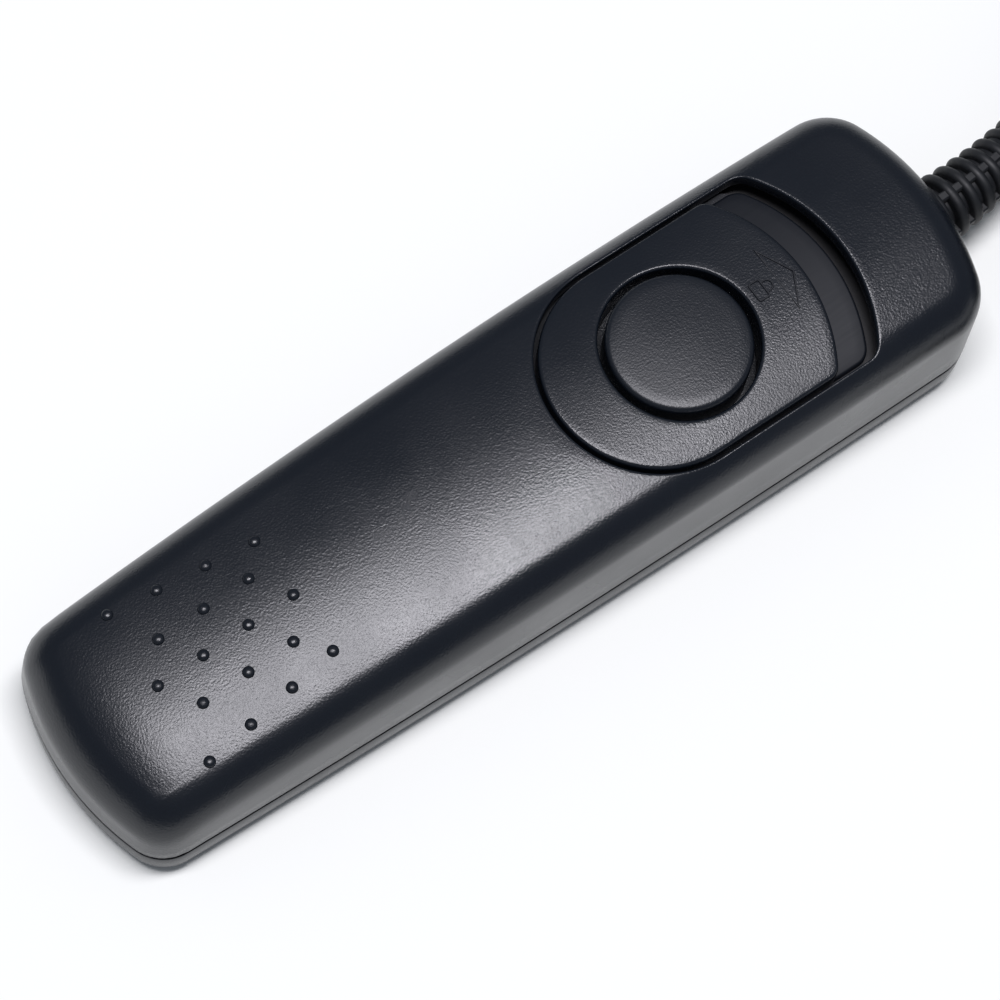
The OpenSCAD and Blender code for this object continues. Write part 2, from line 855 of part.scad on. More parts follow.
// ---- free cable ------------------------------------------------------------------------------
// The cable runs from the sleeve into the outer turns of a round coil two turns wide, and from its
// lowest turn to the plug.
cable_r = cable_d / 2;
relief_end = [relief_start + relief_bend_r * sin(relief_turn), relief_bend_r * (1 - cos(relief_turn))];
coil_at = [87, -11.5];
coil_mid_r = 19.5;
coil_pitch = cable_d + 0.1;
coil_outer_r = coil_mid_r + coil_pitch / 2 + cable_r;
coil_inner_r = coil_mid_r - coil_pitch / 2 - cable_r;
coil_h = 3.1 * coil_pitch + cable_d;
tie_t = 0.6;
tie_w = 8;
outer_turn_r = coil_mid_r + coil_pitch / 2;
lowest_turn_z = tie_t + cable_r;
first_turn_z = lowest_turn_z + 1.65 * coil_pitch;
plug_x = 74;
plug_y = coil_at.y - outer_turn_r;
straight_l = 2.5;
lead_in_points = [[relief_end.x, relief_end.y, exit_z],
    [relief_end.x + straight_l * cos(relief_turn), relief_end.y + straight_l * sin(relief_turn), exit_z],
    [72.4, 4.6, 7.05], [77.2, 6.95, 7.6], [82, 9, 8.2],
    [coil_at.x, coil_at.y + outer_turn_r, first_turn_z]];
lead_out_points = [[coil_at.x, plug_y, lowest_turn_z], [84.4, plug_y, 2.6], [81.75, plug_y, 3], [79.1, plug_y, 3.4],
    [plug_x + straight_l, plug_y, grip_r], [plug_x, plug_y, grip_r]];

// Round tube swept along points, with flat end faces square to its first and last stretch
module tube(points, r, sides = 8) {
    last = len(points) - 1;
    function along(i) = let (v = points[min(last, i + 1)] - points[max(0, i - 1)]) v / norm(v);
    rings = [for (i = [0 : last])
        let (w = along(i))
        let (u = cross([0, 0, 1], w) / norm(cross([0, 0, 1], w)))
        let (v = cross(w, u))
        [for (k = [0 : sides - 1]) points[i] + r * (cos(360 * k / sides) * u + sin(360 * k / sides) * v)]];
    sides_faces = [for (i = [0 : last - 1]) for (k = [0 : sides - 1]) let (m = (k + 1) % sides)
        each [[i * sides + k, (i + 1) * sides + k, (i + 1) * sides + m],
            [i * sides + k, (i + 1) * sides + m, i * sides + m]]];
    start_face = [[for (k = [0 : sides - 1]) k]];
    end_face = [[for (k = [sides - 1 : -1 : 0]) last * sides + k]];
    polyhedron([for (ring = rings) each ring], concat(sides_faces, start_face, end_face), 4);
}

module cable_lead_in() {
    color(soft_black)
        tube(lead_in_points, cable_r);
}

module cable_lead_out() {
    color(soft_black)
        tube(lead_out_points, cable_r);
}

module cable_coil() {
    color(soft_black)
        translate([coil_at.x, coil_at.y, tie_t])
            rotate_extrude($fn = 96)
                translate([coil_inner_r, 0])
                    square([coil_outer_r - coil_inner_r, coil_h]);
}

// Strap round one side of the coil
module coil_tie() {
    inner = sqrt(sq(coil_inner_r) - sq(tie_w / 2)) - 0.1;
    outer = coil_outer_r + 0.1;
    color(black)
        translate([coil_at.x, coil_at.y, 0])
            rotate([90, 0, 0])
                translate([0, 0, -tie_w / 2])
                    linear_extrude(tie_w)
                        difference() {
                            translate([inner - tie_t, 0])
                                square([outer - inner + 2 * tie_t, coil_h + 2 * tie_t]);
                            translate([inner, tie_t])
                                square([outer - inner, coil_h]);
                        }
}

// ---- plug ------------------------------------------------------------------------------------
grip_edge_r = 0.8;
band_l = 0.7;
tip_l = 3.2;
ring_l = 2;
sleeve_l = jack_l - tip_l - ring_l - 2 * band_l;
collar_l = 0.8;
collar_r = 2.4;

// Places children at distance s from the cable's end, facing along the plug
module on_plug(s) {
    translate([plug_x - s, plug_y, grip_r])
        rotate([0, -90, 0])
            children();
}

module plug_relief() {
    color(soft_black)
        on_plug(0)
            union() {
                cylinder(r1 = cable_r + 0.5, r2 = cable_r + 0.9, h = plug_relief_l);
                for (i = [0 : 3])
                    translate([0, 0, 1.4 + i * 2.2])
                        rib(cable_r + 1 + 0.1 * i);
            }
}

module plug_grip() {
    color(soft_black)
        on_plug(plug_relief_l)
            difference() {
                rotate_extrude($fn = 64)
                    union() {
                        translate([0, grip_edge_r])
                            square([grip_r, grip_l - 2 * grip_edge_r]);
                        square([grip_r - grip_edge_r, grip_l]);
                        for (z = [grip_edge_r, grip_l - grip_edge_r])
                            translate([grip_r - grip_edge_r, z])
                                circle(r = grip_edge_r, $fn = 24);
                    }
                for (i = [0 : 2])
                    translate([0, 0, 4 + 2.2 * i])
                        rotate_extrude($fn = 64)
                            translate([grip_r, 0])
                                circle(r = 0.35, $fn = 16);
            }
}

jack_start = plug_relief_l + grip_l;

module plug_sleeve() {
    color(silver)
        on_plug(jack_start) {
            cylinder(r = collar_r, h = collar_l);
            cylinder(r = jack_r, h = sleeve_l);
        }
}

module plug_insulators() {
    color(black)
        for (s = [sleeve_l, sleeve_l + band_l + ring_l])
            on_plug(jack_start + s)
                cylinder(r = jack_r, h = band_l);
}

module plug_ring() {
    color(silver)
        on_plug(jack_start + sleeve_l + band_l)
            cylinder(r = jack_r, h = ring_l);
}

module plug_tip() {
    color(silver)
        on_plug(jack_start + sleeve_l + 2 * band_l + ring_l)
            rotate_extrude()
                polygon([[0, 0], [jack_r, 0], [jack_r, 0.5], [0.85, 1], [jack_r, 1.6], [jack_r, 2.2],
                    [0.45, tip_l], [0, tip_l]]);
}

top_shell();
bottom_shell();
case_screws();
hold_slider();
shutter_button();
guide_frame();
frame_screws();
switch_base();
lower_spacer();
upper_spacer();
clamp_plate();
stack_screws();
shutter_leaf();
focus_leaf();
common_leaf();
contact_rivets();
solder_joints();
common_lead();
focus_lead();
shutter_lead();
cable_inner_end();
strain_relief();
cable_lead_in();
cable_coil();
coil_tie();
cable_lead_out();
plug_relief();
plug_grip();
plug_sleeve();
plug_ring();
plug_tip();
plug_insulators();
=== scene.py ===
"""Dresses the wired shutter release: housing shells, hold slider, button, cable and stage.

The lengths below are millimetres, and MM turns them to metres where a mesh is made."""

import math
from bisect import bisect_right

import bmesh
import bpy
from mathutils import Matrix, Vector


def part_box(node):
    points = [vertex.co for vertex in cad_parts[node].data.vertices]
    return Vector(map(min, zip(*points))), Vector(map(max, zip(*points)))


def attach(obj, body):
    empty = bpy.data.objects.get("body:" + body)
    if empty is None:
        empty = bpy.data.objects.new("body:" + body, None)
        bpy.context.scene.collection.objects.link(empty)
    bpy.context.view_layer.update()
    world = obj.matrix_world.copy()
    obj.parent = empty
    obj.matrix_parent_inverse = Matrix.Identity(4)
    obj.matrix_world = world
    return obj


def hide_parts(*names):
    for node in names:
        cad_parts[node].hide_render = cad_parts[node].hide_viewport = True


bl_info = {
    "name": "Wired Shutter Release",
    "version": (1, 0, 0),
    "blender": (4, 5, 0),
    "location": "View3D > Sidebar > Release",
    "description": "Builds the finished look of a hand-held wired shutter release",
    "category": "Object",
}

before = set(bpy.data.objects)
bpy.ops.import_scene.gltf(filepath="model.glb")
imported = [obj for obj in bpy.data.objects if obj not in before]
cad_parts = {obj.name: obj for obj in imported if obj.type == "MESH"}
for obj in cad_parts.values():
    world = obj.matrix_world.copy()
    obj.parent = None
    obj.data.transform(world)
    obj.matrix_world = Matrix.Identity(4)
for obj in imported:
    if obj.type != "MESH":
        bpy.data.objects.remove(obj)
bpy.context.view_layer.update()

MM = 0.001
HANDSET = "handset"
SLIDER = "slider"
BUTTON = "button"


def node_box_mm(node):
    """Lowest and highest corner of a CAD node, in millimetres."""
    low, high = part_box(node)
    return Vector(low) / MM, Vector(high) / MM


# ---- sizes of the housing, as the construction has them ----------------------------------------
TRAY_LOW, TRAY_HIGH = node_box_mm("bottom_shell")
LENGTH = TRAY_HIGH.x - TRAY_LOW.x
WIDTH = TRAY_HIGH.y - TRAY_LOW.y
CREST_H = 17.0
WALL = 1.4
PART_Z = 4.4
SEAM_GAP = 0.5
TONGUE_TOP = 5.7
TONGUE_W = 0.65
TONGUE_FIT = 0.1
SHOULDER_R = 3.4
FOOT_R = 2.0
DRAFT = 0.27
SIDE_BOW_R = 1850.0
TAIL_BOW_R = 28.0
HEAD_BOW_R = 32.0
TAIL_CORNER_R = 4.2
HEAD_CORNER_R = 5.5
WIDEST_X = 27.0
CREST_X = 30.0
RIDGE_R = 650.0
CROWN_R = 59.0
TAIL_ROUND_X = -41.0
TAIL_ROUND_R = 16.0
SEAM_EDGE_R = 0.12

# ---- slider and button ---------------------------------------------------------------------------
BUTTON_X = 18.5
CAP_R = 6.95
CAP_DOME_R = 90.0
CAP_STAND = 0.25
HOLE_R = 7.6
SLIDE = 4.1
OPEN_HALF = 10.96
OPEN_TAIL_X = 4.45
OPEN_FRONT_X = 36.9
OPEN_FRONT_R = 19.0
OPEN_CORNER_R = 1.9
PLATE_GAP = 0.4
PLATE_SINK = 0.05
LEDGE_DROP = 1.9
LEDGE_FRONT_X = 36.0
LEDGE_HALF = 10.4
LEDGE_R = 20.0
SLIDER_Z = 12.55
KEEPER_TOP = 12.25
KEEPER_T = 1.0
KEEPER_R = 8.4
PLUNGER_R = 2.0
PLUNGER_Z = 9.15

# ---- cable ---------------------------------------------------------------------------------------
CABLE_D = 3.6
EXIT_Z = 6.8
BOOT_START_X = LENGTH / 2 + 0.5
BOOT_BEND_R = 60.0
BOOT_L = 15.84
COIL_AT = Vector((87.0, -11.5))
COIL_MID_R = 19.5
COIL_PITCH = CABLE_D + 0.1
COIL_BOTTOM_Z = 2.4
PLUG_END = Vector((74.0, -32.85, 3.6))


# ---- small helpers -------------------------------------------------------------------------------
def srgb(hex_code):
    """Linear colour with alpha from a hex code such as #1A1B1E."""
    channels = [int(hex_code[i : i + 2], 16) / 255 for i in (1, 3, 5)]
    return [c / 12.92 if c <= 0.04045 else ((c + 0.055) / 1.055) ** 2.4 for c in channels] + [1.0]


def add_node(tree, kind, settings=None, links=None):
    """Adds a node, sets its sockets and properties by name, and links sockets of other nodes to it."""
    node = tree.nodes.new(kind)
    for name, value in (settings or {}).items():
        if isinstance(name, str) and hasattr(node, name):
            setattr(node, name, value)
        else:
            node.inputs[name].default_value = value
    for name, source in (links or {}).items():
        tree.links.new(source, node.inputs[name])
    return node


def new_material(name):
    """An empty node material: (material, node tree)."""
    material = bpy.data.materials.new(name)
    material.use_nodes = True
    material.node_tree.nodes.clear()
    return material, material.node_tree


def finish_material(material, shader):
    """Wires a shader to the surface output."""
    add_node(material.node_tree, "ShaderNodeOutputMaterial", links={"Surface": shader.outputs[0]})
    return material


def smoothstep(t):
    t = max(0.0, min(1.0, t))
    return t * t * (3 - 2 * t)


# ---- plan outlines -------------------------------------------------------------------------------
def sweep(mid, radius, start, end, steps, skip=0):
    """Points on an arc, from one angle to another in degrees."""
    turns = [start + (end - start) * i / steps for i in range(skip, steps + 1)]
    return [(mid[0] + radius * math.cos(math.radians(a)), mid[1] + radius * math.sin(math.radians(a))) for a in turns]


def meet(a, radius_a, b, radius_b, side):
    """Where two circles meet, on the left of the line from a to b for side 1."""
    dx, dy = b[0] - a[0], b[1] - a[1]
    gap = math.hypot(dx, dy)
    dx, dy = dx / gap, dy / gap
    along = (gap * gap + radius_a**2 - radius_b**2) / (2 * gap)
    across = side * math.sqrt(radius_a**2 - along**2)
    return (a[0] + along * dx - across * dy, a[1] + along * dy + across * dx)


def heading(point, origin):
    return math.degrees(math.atan2(point[1] - origin[1], point[0] - origin[0]))


def mirrored(half):
    return half + [(x, -y) for x, y in half[-2:0:-1]]


TAIL_MID = (TAIL_BOW_R - LENGTH / 2, 0.0)
HEAD_MID = (LENGTH / 2 - HEAD_BOW_R, 0.0)
SIDE_MID = (WIDEST_X, WIDTH / 2 - SIDE_BOW_R)
TAIL_CORNER = meet(TAIL_MID, TAIL_BOW_R - TAIL_CORNER_R, SIDE_MID, SIDE_BOW_R - TAIL_CORNER_R, -1)
HEAD_CORNER = meet(HEAD_MID, HEAD_BOW_R - HEAD_CORNER_R, SIDE_MID, SIDE_BOW_R - HEAD_CORNER_R, 1)


def housing_outline(inset):
    """The housing's plan outline, drawn in by inset: bowed ends and sides with tangent corner arcs."""
    tail_bow_a = heading(TAIL_CORNER, TAIL_MID)
    tail_side_a = heading(TAIL_CORNER, SIDE_MID)
    head_side_a = heading(HEAD_CORNER, SIDE_MID)
    head_bow_a = heading(HEAD_CORNER, HEAD_MID)
    half = sweep(TAIL_MID, TAIL_BOW_R - inset, 180, tail_bow_a, 10)
    half += sweep(TAIL_CORNER, TAIL_CORNER_R - inset, tail_bow_a, tail_side_a, 16, 1)
    half += sweep(SIDE_MID, SIDE_BOW_R - inset, tail_side_a, head_side_a, 48, 1)
    half += sweep(HEAD_CORNER, HEAD_CORNER_R - inset, head_side_a, head_bow_a, 16, 1)
    half += sweep(HEAD_MID, HEAD_BOW_R - inset, head_bow_a, 0, 10, 1)
    return mirrored(half)


def d_outline(half_width, tail_x, front_x, front_r, corner_r, inset=0.0):
    """A D lying down: half-round tail, straight sides and a bowed front with rounded corners."""
    front_mid = (front_x - front_r, 0.0)
    corner_x = front_mid[0] + math.sqrt((front_r - corner_r) ** 2 - (half_width - corner_r) ** 2)
    corner = (corner_x, half_width - corner_r)
    turn = heading(corner, front_mid)
    half = sweep((tail_x + half_width, 0.0), half_width - inset, 180, 90, 36)
    half += sweep(corner, corner_r - inset, 90, turn, 12)
    half += sweep(front_mid, front_r - inset, turn, 0, 20, 1)
    return mirrored(half)


def opening_outline(inset):
    return d_outline(OPEN_HALF, OPEN_TAIL_X, OPEN_FRONT_X, OPEN_FRONT_R, OPEN_CORNER_R, inset)


def plate_outline(inset):
    return d_outline(OPEN_HALF, OPEN_TAIL_X, OPEN_FRONT_X - SLIDE, OPEN_FRONT_R, OPEN_CORNER_R, PLATE_GAP + inset)


def ledge_outline(inset):
    return d_outline(LEDGE_HALF, OPEN_TAIL_X + PLATE_GAP + 1, LEDGE_FRONT_X, LEDGE_R, OPEN_CORNER_R, inset)


def bearings(outline, centre):
    """Angle of each outline point as seen from the centre, in degrees from 0 to 360."""
    return [heading(p, centre) % 360 for p in outline]


def ray_hits(outline, centre, rays):
    """Where rays from the centre cut an outline that every ray cuts once."""
    order = sorted(zip(bearings(outline, centre), outline))
    angles = [a for a, _ in order]
    hits = []
    for ray in rays:
        k = bisect_right(angles, ray)
        (x0, y0), (x1, y1) = order[k - 1][1], order[k % len(order)][1]
        c, s = math.cos(math.radians(ray)), math.sin(math.radians(ray))
        ex, ey = x1 - x0, y1 - y0
        px, py = x0 - centre[0], y0 - centre[1]
        reach = (px * ey - py * ex) / (c * ey - s * ex)
        hits.append((centre[0] + reach * c, centre[1] + reach * s))
    return hits


def spread_rays(outlines, centre, widest):
    """Ray angles that pass through every outline's points, with none further apart than widest degrees."""
    angles = sorted(round(a, 3) for outline in outlines for a in bearings(outline, centre))
    kept = []
    for a in angles:
        if not kept or a - kept[-1] > 0.35:
            kept.append(a)
    rays = []
    for a, b in zip(kept, kept[1:] + [kept[0] + 360]):
        parts = max(1, math.ceil((b - a) / widest))
        rays += [a + (b - a) * i / parts for i in range(parts)]
    return sorted(a % 360 for a in rays)


def between(outer, inner, share):
    return [(a[0] + (b[0] - a[0]) * share, a[1] + (b[1] - a[1]) * share) for a, b in zip(outer, inner)]


def lifted(points, height):
    """Points at a height, which is a number or a function of x and y."""
    if callable(height):
        return [(x, y, height(x, y)) for x, y in points]
    return [(x, y, height) for x, y in points]


# ---- surfaces ------------------------------------------------------------------------------------
def deck(x, y):
    """Height of the deck: two wide arcs, and a fall to the tail."""
    fall = max(0.0, TAIL_ROUND_X - x) ** 2 / (2 * TAIL_ROUND_R)
    return CREST_H - (x - CREST_X) ** 2 / (2 * RIDGE_R) - y * y / (2 * CROWN_R) - fall


PLATE_TAIL_X = OPEN_TAIL_X + PLATE_GAP
PLATE_FRONT_X = OPEN_FRONT_X - SLIDE - PLATE_GAP
DECK_SLOPE = (deck(PLATE_FRONT_X, 0) - deck(PLATE_TAIL_X, 0)) / (PLATE_FRONT_X - PLATE_TAIL_X)
PLATE_Z = deck(PLATE_TAIL_X, 0) - PLATE_SINK + DECK_SLOPE * (BUTTON_X - PLATE_TAIL_X)
CAP_TOP = PLATE_Z + CAP_STAND


def crown(x, y):
    """Height of the slider plate's top."""
    return PLATE_Z + DECK_SLOPE * (x - BUTTON_X) - (CROWN_R - math.sqrt(CROWN_R**2 - y * y))


def underside(x, y):
    """Height of the slider's flat underside, on its slope."""
    return SLIDER_Z + DECK_SLOPE * (x - BUTTON_X)


class Roof:
    """The housing's roof, outside or inside, along rays from a centre: a shoulder arc and then the deck."""

    def __init__(self, centre, rays, first_inset, radius, drop):
        self.centre = centre
        self.drop = drop
        turns = [math.radians(a) for a in range(0, 91, 2)]
        self.sags = [radius * (1 - math.sin(a)) for a in turns]
        hits = [ray_hits(housing_outline(first_inset + radius * (1 - math.cos(a))), centre, rays) for a in turns]
        self.reaches = [[self.reach(p) for p in ray] for ray in zip(*hits)]

    def reach(self, point):
        return math.hypot(point[0] - self.centre[0], point[1] - self.centre[1])

    def sag(self, ray, reach):
        """How far the shoulder lies below the deck at a distance along a ray."""
        reaches = self.reaches[ray]
        for k in range(1, len(reaches)):
            if reaches[k] <= reach:
                share = (reaches[k - 1] - reach) / (reaches[k - 1] - reaches[k])
                return self.sags[k - 1] + (self.sags[k] - self.sags[k - 1]) * min(1.0, max(0.0, share))
        return 0.0

    def lifted(self, points, raised=0.0):
        """One point on each ray, set on the roof."""
        return [
            (x, y, deck(x, y) - self.drop - self.sag(ray, self.reach((x, y))) + raised)
            for ray, (x, y) in enumerate(points)
        ]

    def rings_to(self, ends, outer, inner):
        """Rings from the wall's top in to an end point on each ray, close together on the shoulder."""
        tracks = []
        for ray, end in enumerate(ends):
            stop = self.reach(end)
            track = [(r, s) for r, s in zip(self.reaches[ray], self.sags) if r > stop]
            track.append((stop, self.sag(ray, stop)))
            gaps = [math.dist(a, b) for a, b in zip(track, track[1:])]
            arc = sum(gaps[: len(self.sags) - 1])
            split = min(arc, 0.6 * sum(gaps))
            lengths = [split * i / outer for i in range(outer + 1)]
            lengths += [split + (sum(gaps) - split) * i / inner for i in range(1, inner + 1)]
            tracks.append([self.place(track, gaps, length, end) for length in lengths])
        return [list(ring) for ring in zip(*tracks)]

    def place(self, track, gaps, length, end):
        """The point at a length along a track of (distance, sag) pairs."""
        k = 0
        while k < len(gaps) - 1 and length > gaps[k]:
            length -= gaps[k]
            k += 1
        share = min(1.0, length / gaps[k])
        reach, sag = (a + (b - a) * share for a, b in zip(track[k], track[k + 1]))
        scale = reach / self.reach(end)
        x = self.centre[0] + (end[0] - self.centre[0]) * scale
        y = self.centre[1] + (end[1] - self.centre[1]) * scale
        return (x, y, deck(x, y) - self.drop - sag)


# ---- mesh building -------------------------------------------------------------------------------
def add_rings(bm, rings, closed=True, looped=False, material=0):
    """Adds a skin over rings of equal length. Looped joins the last ring to the first, and otherwise
    the end rings are capped."""
    rows = [[bm.verts.new([c * MM for c in p]) for p in ring] for ring in rings]
    count = len(rows[0])
    pairs = list(zip(rows, rows[1:]))
    if looped:
        pairs.append((rows[-1], rows[0]))
    faces = []
    for low, high in pairs:
        for i in range(count if closed else count - 1):
            j = (i + 1) % count
            faces.append(bm.faces.new((low[i], low[j], high[j], high[i])))
    if not looped:
        faces.append(bm.faces.new(rows[0][::-1]))
        faces.append(bm.faces.new(rows[-1]))
    for face in faces:
        face.smooth = True
        face.material_index = material
    return faces


def lathe_rings(profile, centre, steps):
    """Rings about a vertical axis from (radius, height) pairs."""
    angles = [2 * math.pi * i / steps for i in range(steps)]
    return [[(centre[0] + r * math.cos(a), centre[1] + r * math.sin(a), z) for a in angles] for r, z in profile]


def arc_profile(mid, radius, start, end, steps):
    """Part of a lathe profile: an arc in the radius and height plane."""
    return sweep(mid, radius, start, end, steps)


def make_piece(name, bm, materials, body, nodes=(), crease=32):
    """Turns a bmesh into an object that rides on a body and stands for CAD nodes."""
    bmesh.ops.recalc_face_normals(bm, faces=bm.faces)
    mesh = bpy.data.meshes.new(name)
    bm.to_mesh(mesh)
    bm.free()
    mesh.set_sharp_from_angle(angle=math.radians(crease))
    obj = bpy.data.objects.new(name, mesh)
    bpy.context.scene.collection.objects.link(obj)
    for material in materials:
        mesh.materials.append(material)
    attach(obj, body)
    if nodes:
        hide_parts(*nodes)
    return obj


def look_along(direction, up_hint=(0, 0, 1)):
    """Matrix whose Z axis runs along a direction."""
    z = Vector(direction).normalized()
    x = Vector(up_hint).cross(z)
    if x.length < 1e-6:
        x = Vector((1, 0, 0))
    x.normalize()
    return Matrix((x, z.cross(x), z)).transposed()


# ---- materials -----------------------------------------------------------------------------------
SHELL_ROUGHNESS = 0.27
SLIDER_ROUGHNESS = 0.28
CAP_ROUGHNESS = 0.36


def moulded_plastic(name, base_hex, grain_mm, grain_depth_mm, roughness, spread=0.05, gleam=0.5):
    """ABS moulded in a spark-eroded tool: a deep black with a fine pebble grain, which turns a broad
    soft highlight to fine sparkle. The real grain is nearer 0.1 mm wide, and is drawn wider to show."""
    material, tree = new_material(name)
    coords = add_node(tree, "ShaderNodeTexCoord")
    grain = add_node(
        tree,
        "ShaderNodeTexNoise",
        {"Scale": 1 / (grain_mm * MM), "Detail": 2.0, "Roughness": 0.55},
        {"Vector": coords.outputs["Object"]},
    )
    # Flow and handling change the gloss a little over centimetres.
    cloud = add_node(
        tree,
        "ShaderNodeTexNoise",
        {"Scale": 1 / (14 * MM), "Detail": 3.0, "Roughness": 0.5},
        {"Vector": coords.outputs["Object"]},
    )
    gloss = add_node(
        tree,
        "ShaderNodeMapRange",
        {"From Min": 0.3, "From Max": 0.7, "To Min": roughness - spread, "To Max": roughness + spread},
        {"Value": cloud.outputs[0]},
    )
    tone = add_node(
        tree,
        "ShaderNodeMix",
        {"data_type": "RGBA", 6: srgb(base_hex), 7: [1.35 * c for c in srgb(base_hex)[:3]] + [1.0]},
        {0: grain.outputs[0]},
    )
    relief = add_node(
        tree,
        "ShaderNodeBump",
        {"Strength": 1.0, "Distance": grain_depth_mm * MM},
        {"Height": grain.outputs[0]},
    )
    shader = add_node(
        tree,
        "ShaderNodeBsdfPrincipled",
        {"IOR": 1.5, "Specular IOR Level": gleam},
        {"Base Color": tone.outputs[2], "Roughness": gloss.outputs[0], "Normal": relief.outputs[0]},
    )
    return finish_material(material, shader)


def housing_abs(name, housing, roughness):
    """The moulded plastic in the colour and grain of the housing's settings."""
    return moulded_plastic(name, housing.plastic_hex, housing.grain / MM, housing.grain_depth / MM, roughness)


def rubbed_plastic(name, base_hex, roughness):
    """ABS polished by sliding: smooth, with faint rub marks along the travel."""
    material, tree = new_material(name)
    coords = add_node(tree, "ShaderNodeTexCoord")
    stretch = add_node(
        tree,
        "ShaderNodeMapping",
        {"Scale": (1 / (6 * MM), 1 / (0.5 * MM), 1 / (0.5 * MM))},
        {"Vector": coords.outputs["Object"]},
    )
    rubs = add_node(
        tree,
        "ShaderNodeTexNoise",
        {"Scale": 1.0, "Detail": 4.0, "Roughness": 0.6},
        {"Vector": stretch.outputs[0]},
    )
    gloss = add_node(
        tree,
        "ShaderNodeMapRange",
        {"From Min": 0.35, "From Max": 0.7, "To Min": roughness - 0.02, "To Max": roughness + 0.04},
        {"Value": rubs.outputs[0]},
    )
    relief = add_node(
        tree,
        "ShaderNodeBump",
        {"Strength": 0.4, "Distance": 0.0015 * MM},
        {"Height": rubs.outputs[0]},
    )
    shader = add_node(
        tree,
        "ShaderNodeBsdfPrincipled",
        {"Base Color": srgb(base_hex), "IOR": 1.5, "Specular IOR Level": 0.3},
        {"Roughness": gloss.outputs[0], "Normal": relief.outputs[0]},
    )
    return finish_material(material, shader)


def soft_vinyl(name, base_hex, roughness):
    """Extruded or overmoulded plasticised PVC: an even satin with a slight orange peel."""
    material, tree = new_material(name)
    coords = add_node(tree, "ShaderNodeTexCoord")
    peel = add_node(
        tree,
        "ShaderNodeTexNoise",
        {"Scale": 1 / (0.5 * MM), "Detail": 2.0},
        {"Vector": coords.outputs["Object"]},
    )
    dust = add_node(
        tree,
        "ShaderNodeMapRange",
        {"From Min": 0.3, "From Max": 0.7, "To Min": roughness - 0.05, "To Max": roughness + 0.07},
        {"Value": peel.outputs[0]},
    )
    relief = add_node(
        tree,
        "ShaderNodeBump",
        {"Strength": 0.5, "Distance": 0.01 * MM},
        {"Height": peel.outputs[0]},
    )
    shader = add_node(
        tree,
        "ShaderNodeBsdfPrincipled",
        {"Base Color": srgb(base_hex), "IOR": 1.52},
        {"Roughness": dust.outputs[0], "Normal": relief.outputs[0]},
    )
    return finish_material(material, shader)


def plated_metal(name, base_hex, roughness, line_mm):
    """Turned or rolled metal with a thin plating: fine lines across a bright surface."""
    material, tree = new_material(name)
    coords = add_node(tree, "ShaderNodeTexCoord")
    stretch = add_node(
        tree,
        "ShaderNodeMapping",
        {"Scale": (1 / (line_mm * MM), 1 / (4 * MM), 1 / (4 * MM))},
        {"Vector": coords.outputs["Object"]},
    )
    lines = add_node(tree, "ShaderNodeTexNoise", {"Scale": 1.0, "Detail": 2.0}, {"Vector": stretch.outputs[0]})
    gloss = add_node(
        tree,
        "ShaderNodeMapRange",
        {"To Min": roughness - 0.06, "To Max": roughness + 0.1},
        {"Value": lines.outputs[0]},
    )
    relief = add_node(
        tree,
        "ShaderNodeBump",
        {"Strength": 0.3, "Distance": 0.003 * MM},
        {"Height": lines.outputs[0]},
    )
    shader = add_node(
        tree,
        "ShaderNodeBsdfPrincipled",
        {"Base Color": srgb(base_hex), "Metallic": 1.0},
        {"Roughness": gloss.outputs[0], "Normal": relief.outputs[0]},
    )
    return finish_material(material, shader)


def phenolic_board(name, base_hex):
    """Paper laminate bonded with phenolic resin: brown, with a faint fibre figure."""
    material, tree = new_material(name)
    coords = add_node(tree, "ShaderNodeTexCoord")
    fibre = add_node(
        tree,
        "ShaderNodeTexNoise",
        {"Scale": 1 / (0.4 * MM), "Detail": 4.0, "Roughness": 0.7},
        {"Vector": coords.outputs["Object"]},
    )
    tone = add_node(
        tree,
        "ShaderNodeMix",
        {"data_type": "RGBA", 6: srgb(base_hex), 7: [0.6 * c for c in srgb(base_hex)[:3]] + [1.0]},
        {0: fibre.outputs[0]},
    )
    shader = add_node(
        tree,
        "ShaderNodeBsdfPrincipled",
        {"Roughness": 0.5, "IOR": 1.55},
        {"Base Color": tone.outputs[2]},
    )
    return finish_material(material, shader)


def woven_strap(name, base_hex, thread_mm):
    """Woven nylon strap: a matt fabric with crossing threads."""
    material, tree = new_material(name)
    coords = add_node(tree, "ShaderNodeTexCoord")
    weave = add_node(
        tree,
        "ShaderNodeTexChecker",
        {"Scale": 1 / (thread_mm * MM)},
        {"Vector": coords.outputs["Object"]},
    )
    fuzz = add_node(
        tree,
        "ShaderNodeTexNoise",
        {"Scale": 1 / (0.3 * MM), "Detail": 3.0},
        {"Vector": coords.outputs["Object"]},
    )
    height = add_node(tree, "ShaderNodeMath", {"operation": "ADD"}, {0: weave.outputs[1], 1: fuzz.outputs[0]})
    relief = add_node(
        tree,
        "ShaderNodeBump",
        {"Strength": 0.6, "Distance": 0.06 * MM},
        {"Height": height.outputs[0]},
    )
    shader = add_node(
        tree,
        "ShaderNodeBsdfPrincipled",
        {"Base Color": srgb(base_hex), "Roughness": 0.85, "Sheen Weight": 0.3},
        {"Normal": relief.outputs[0]},
    )
    return finish_material(material, shader)


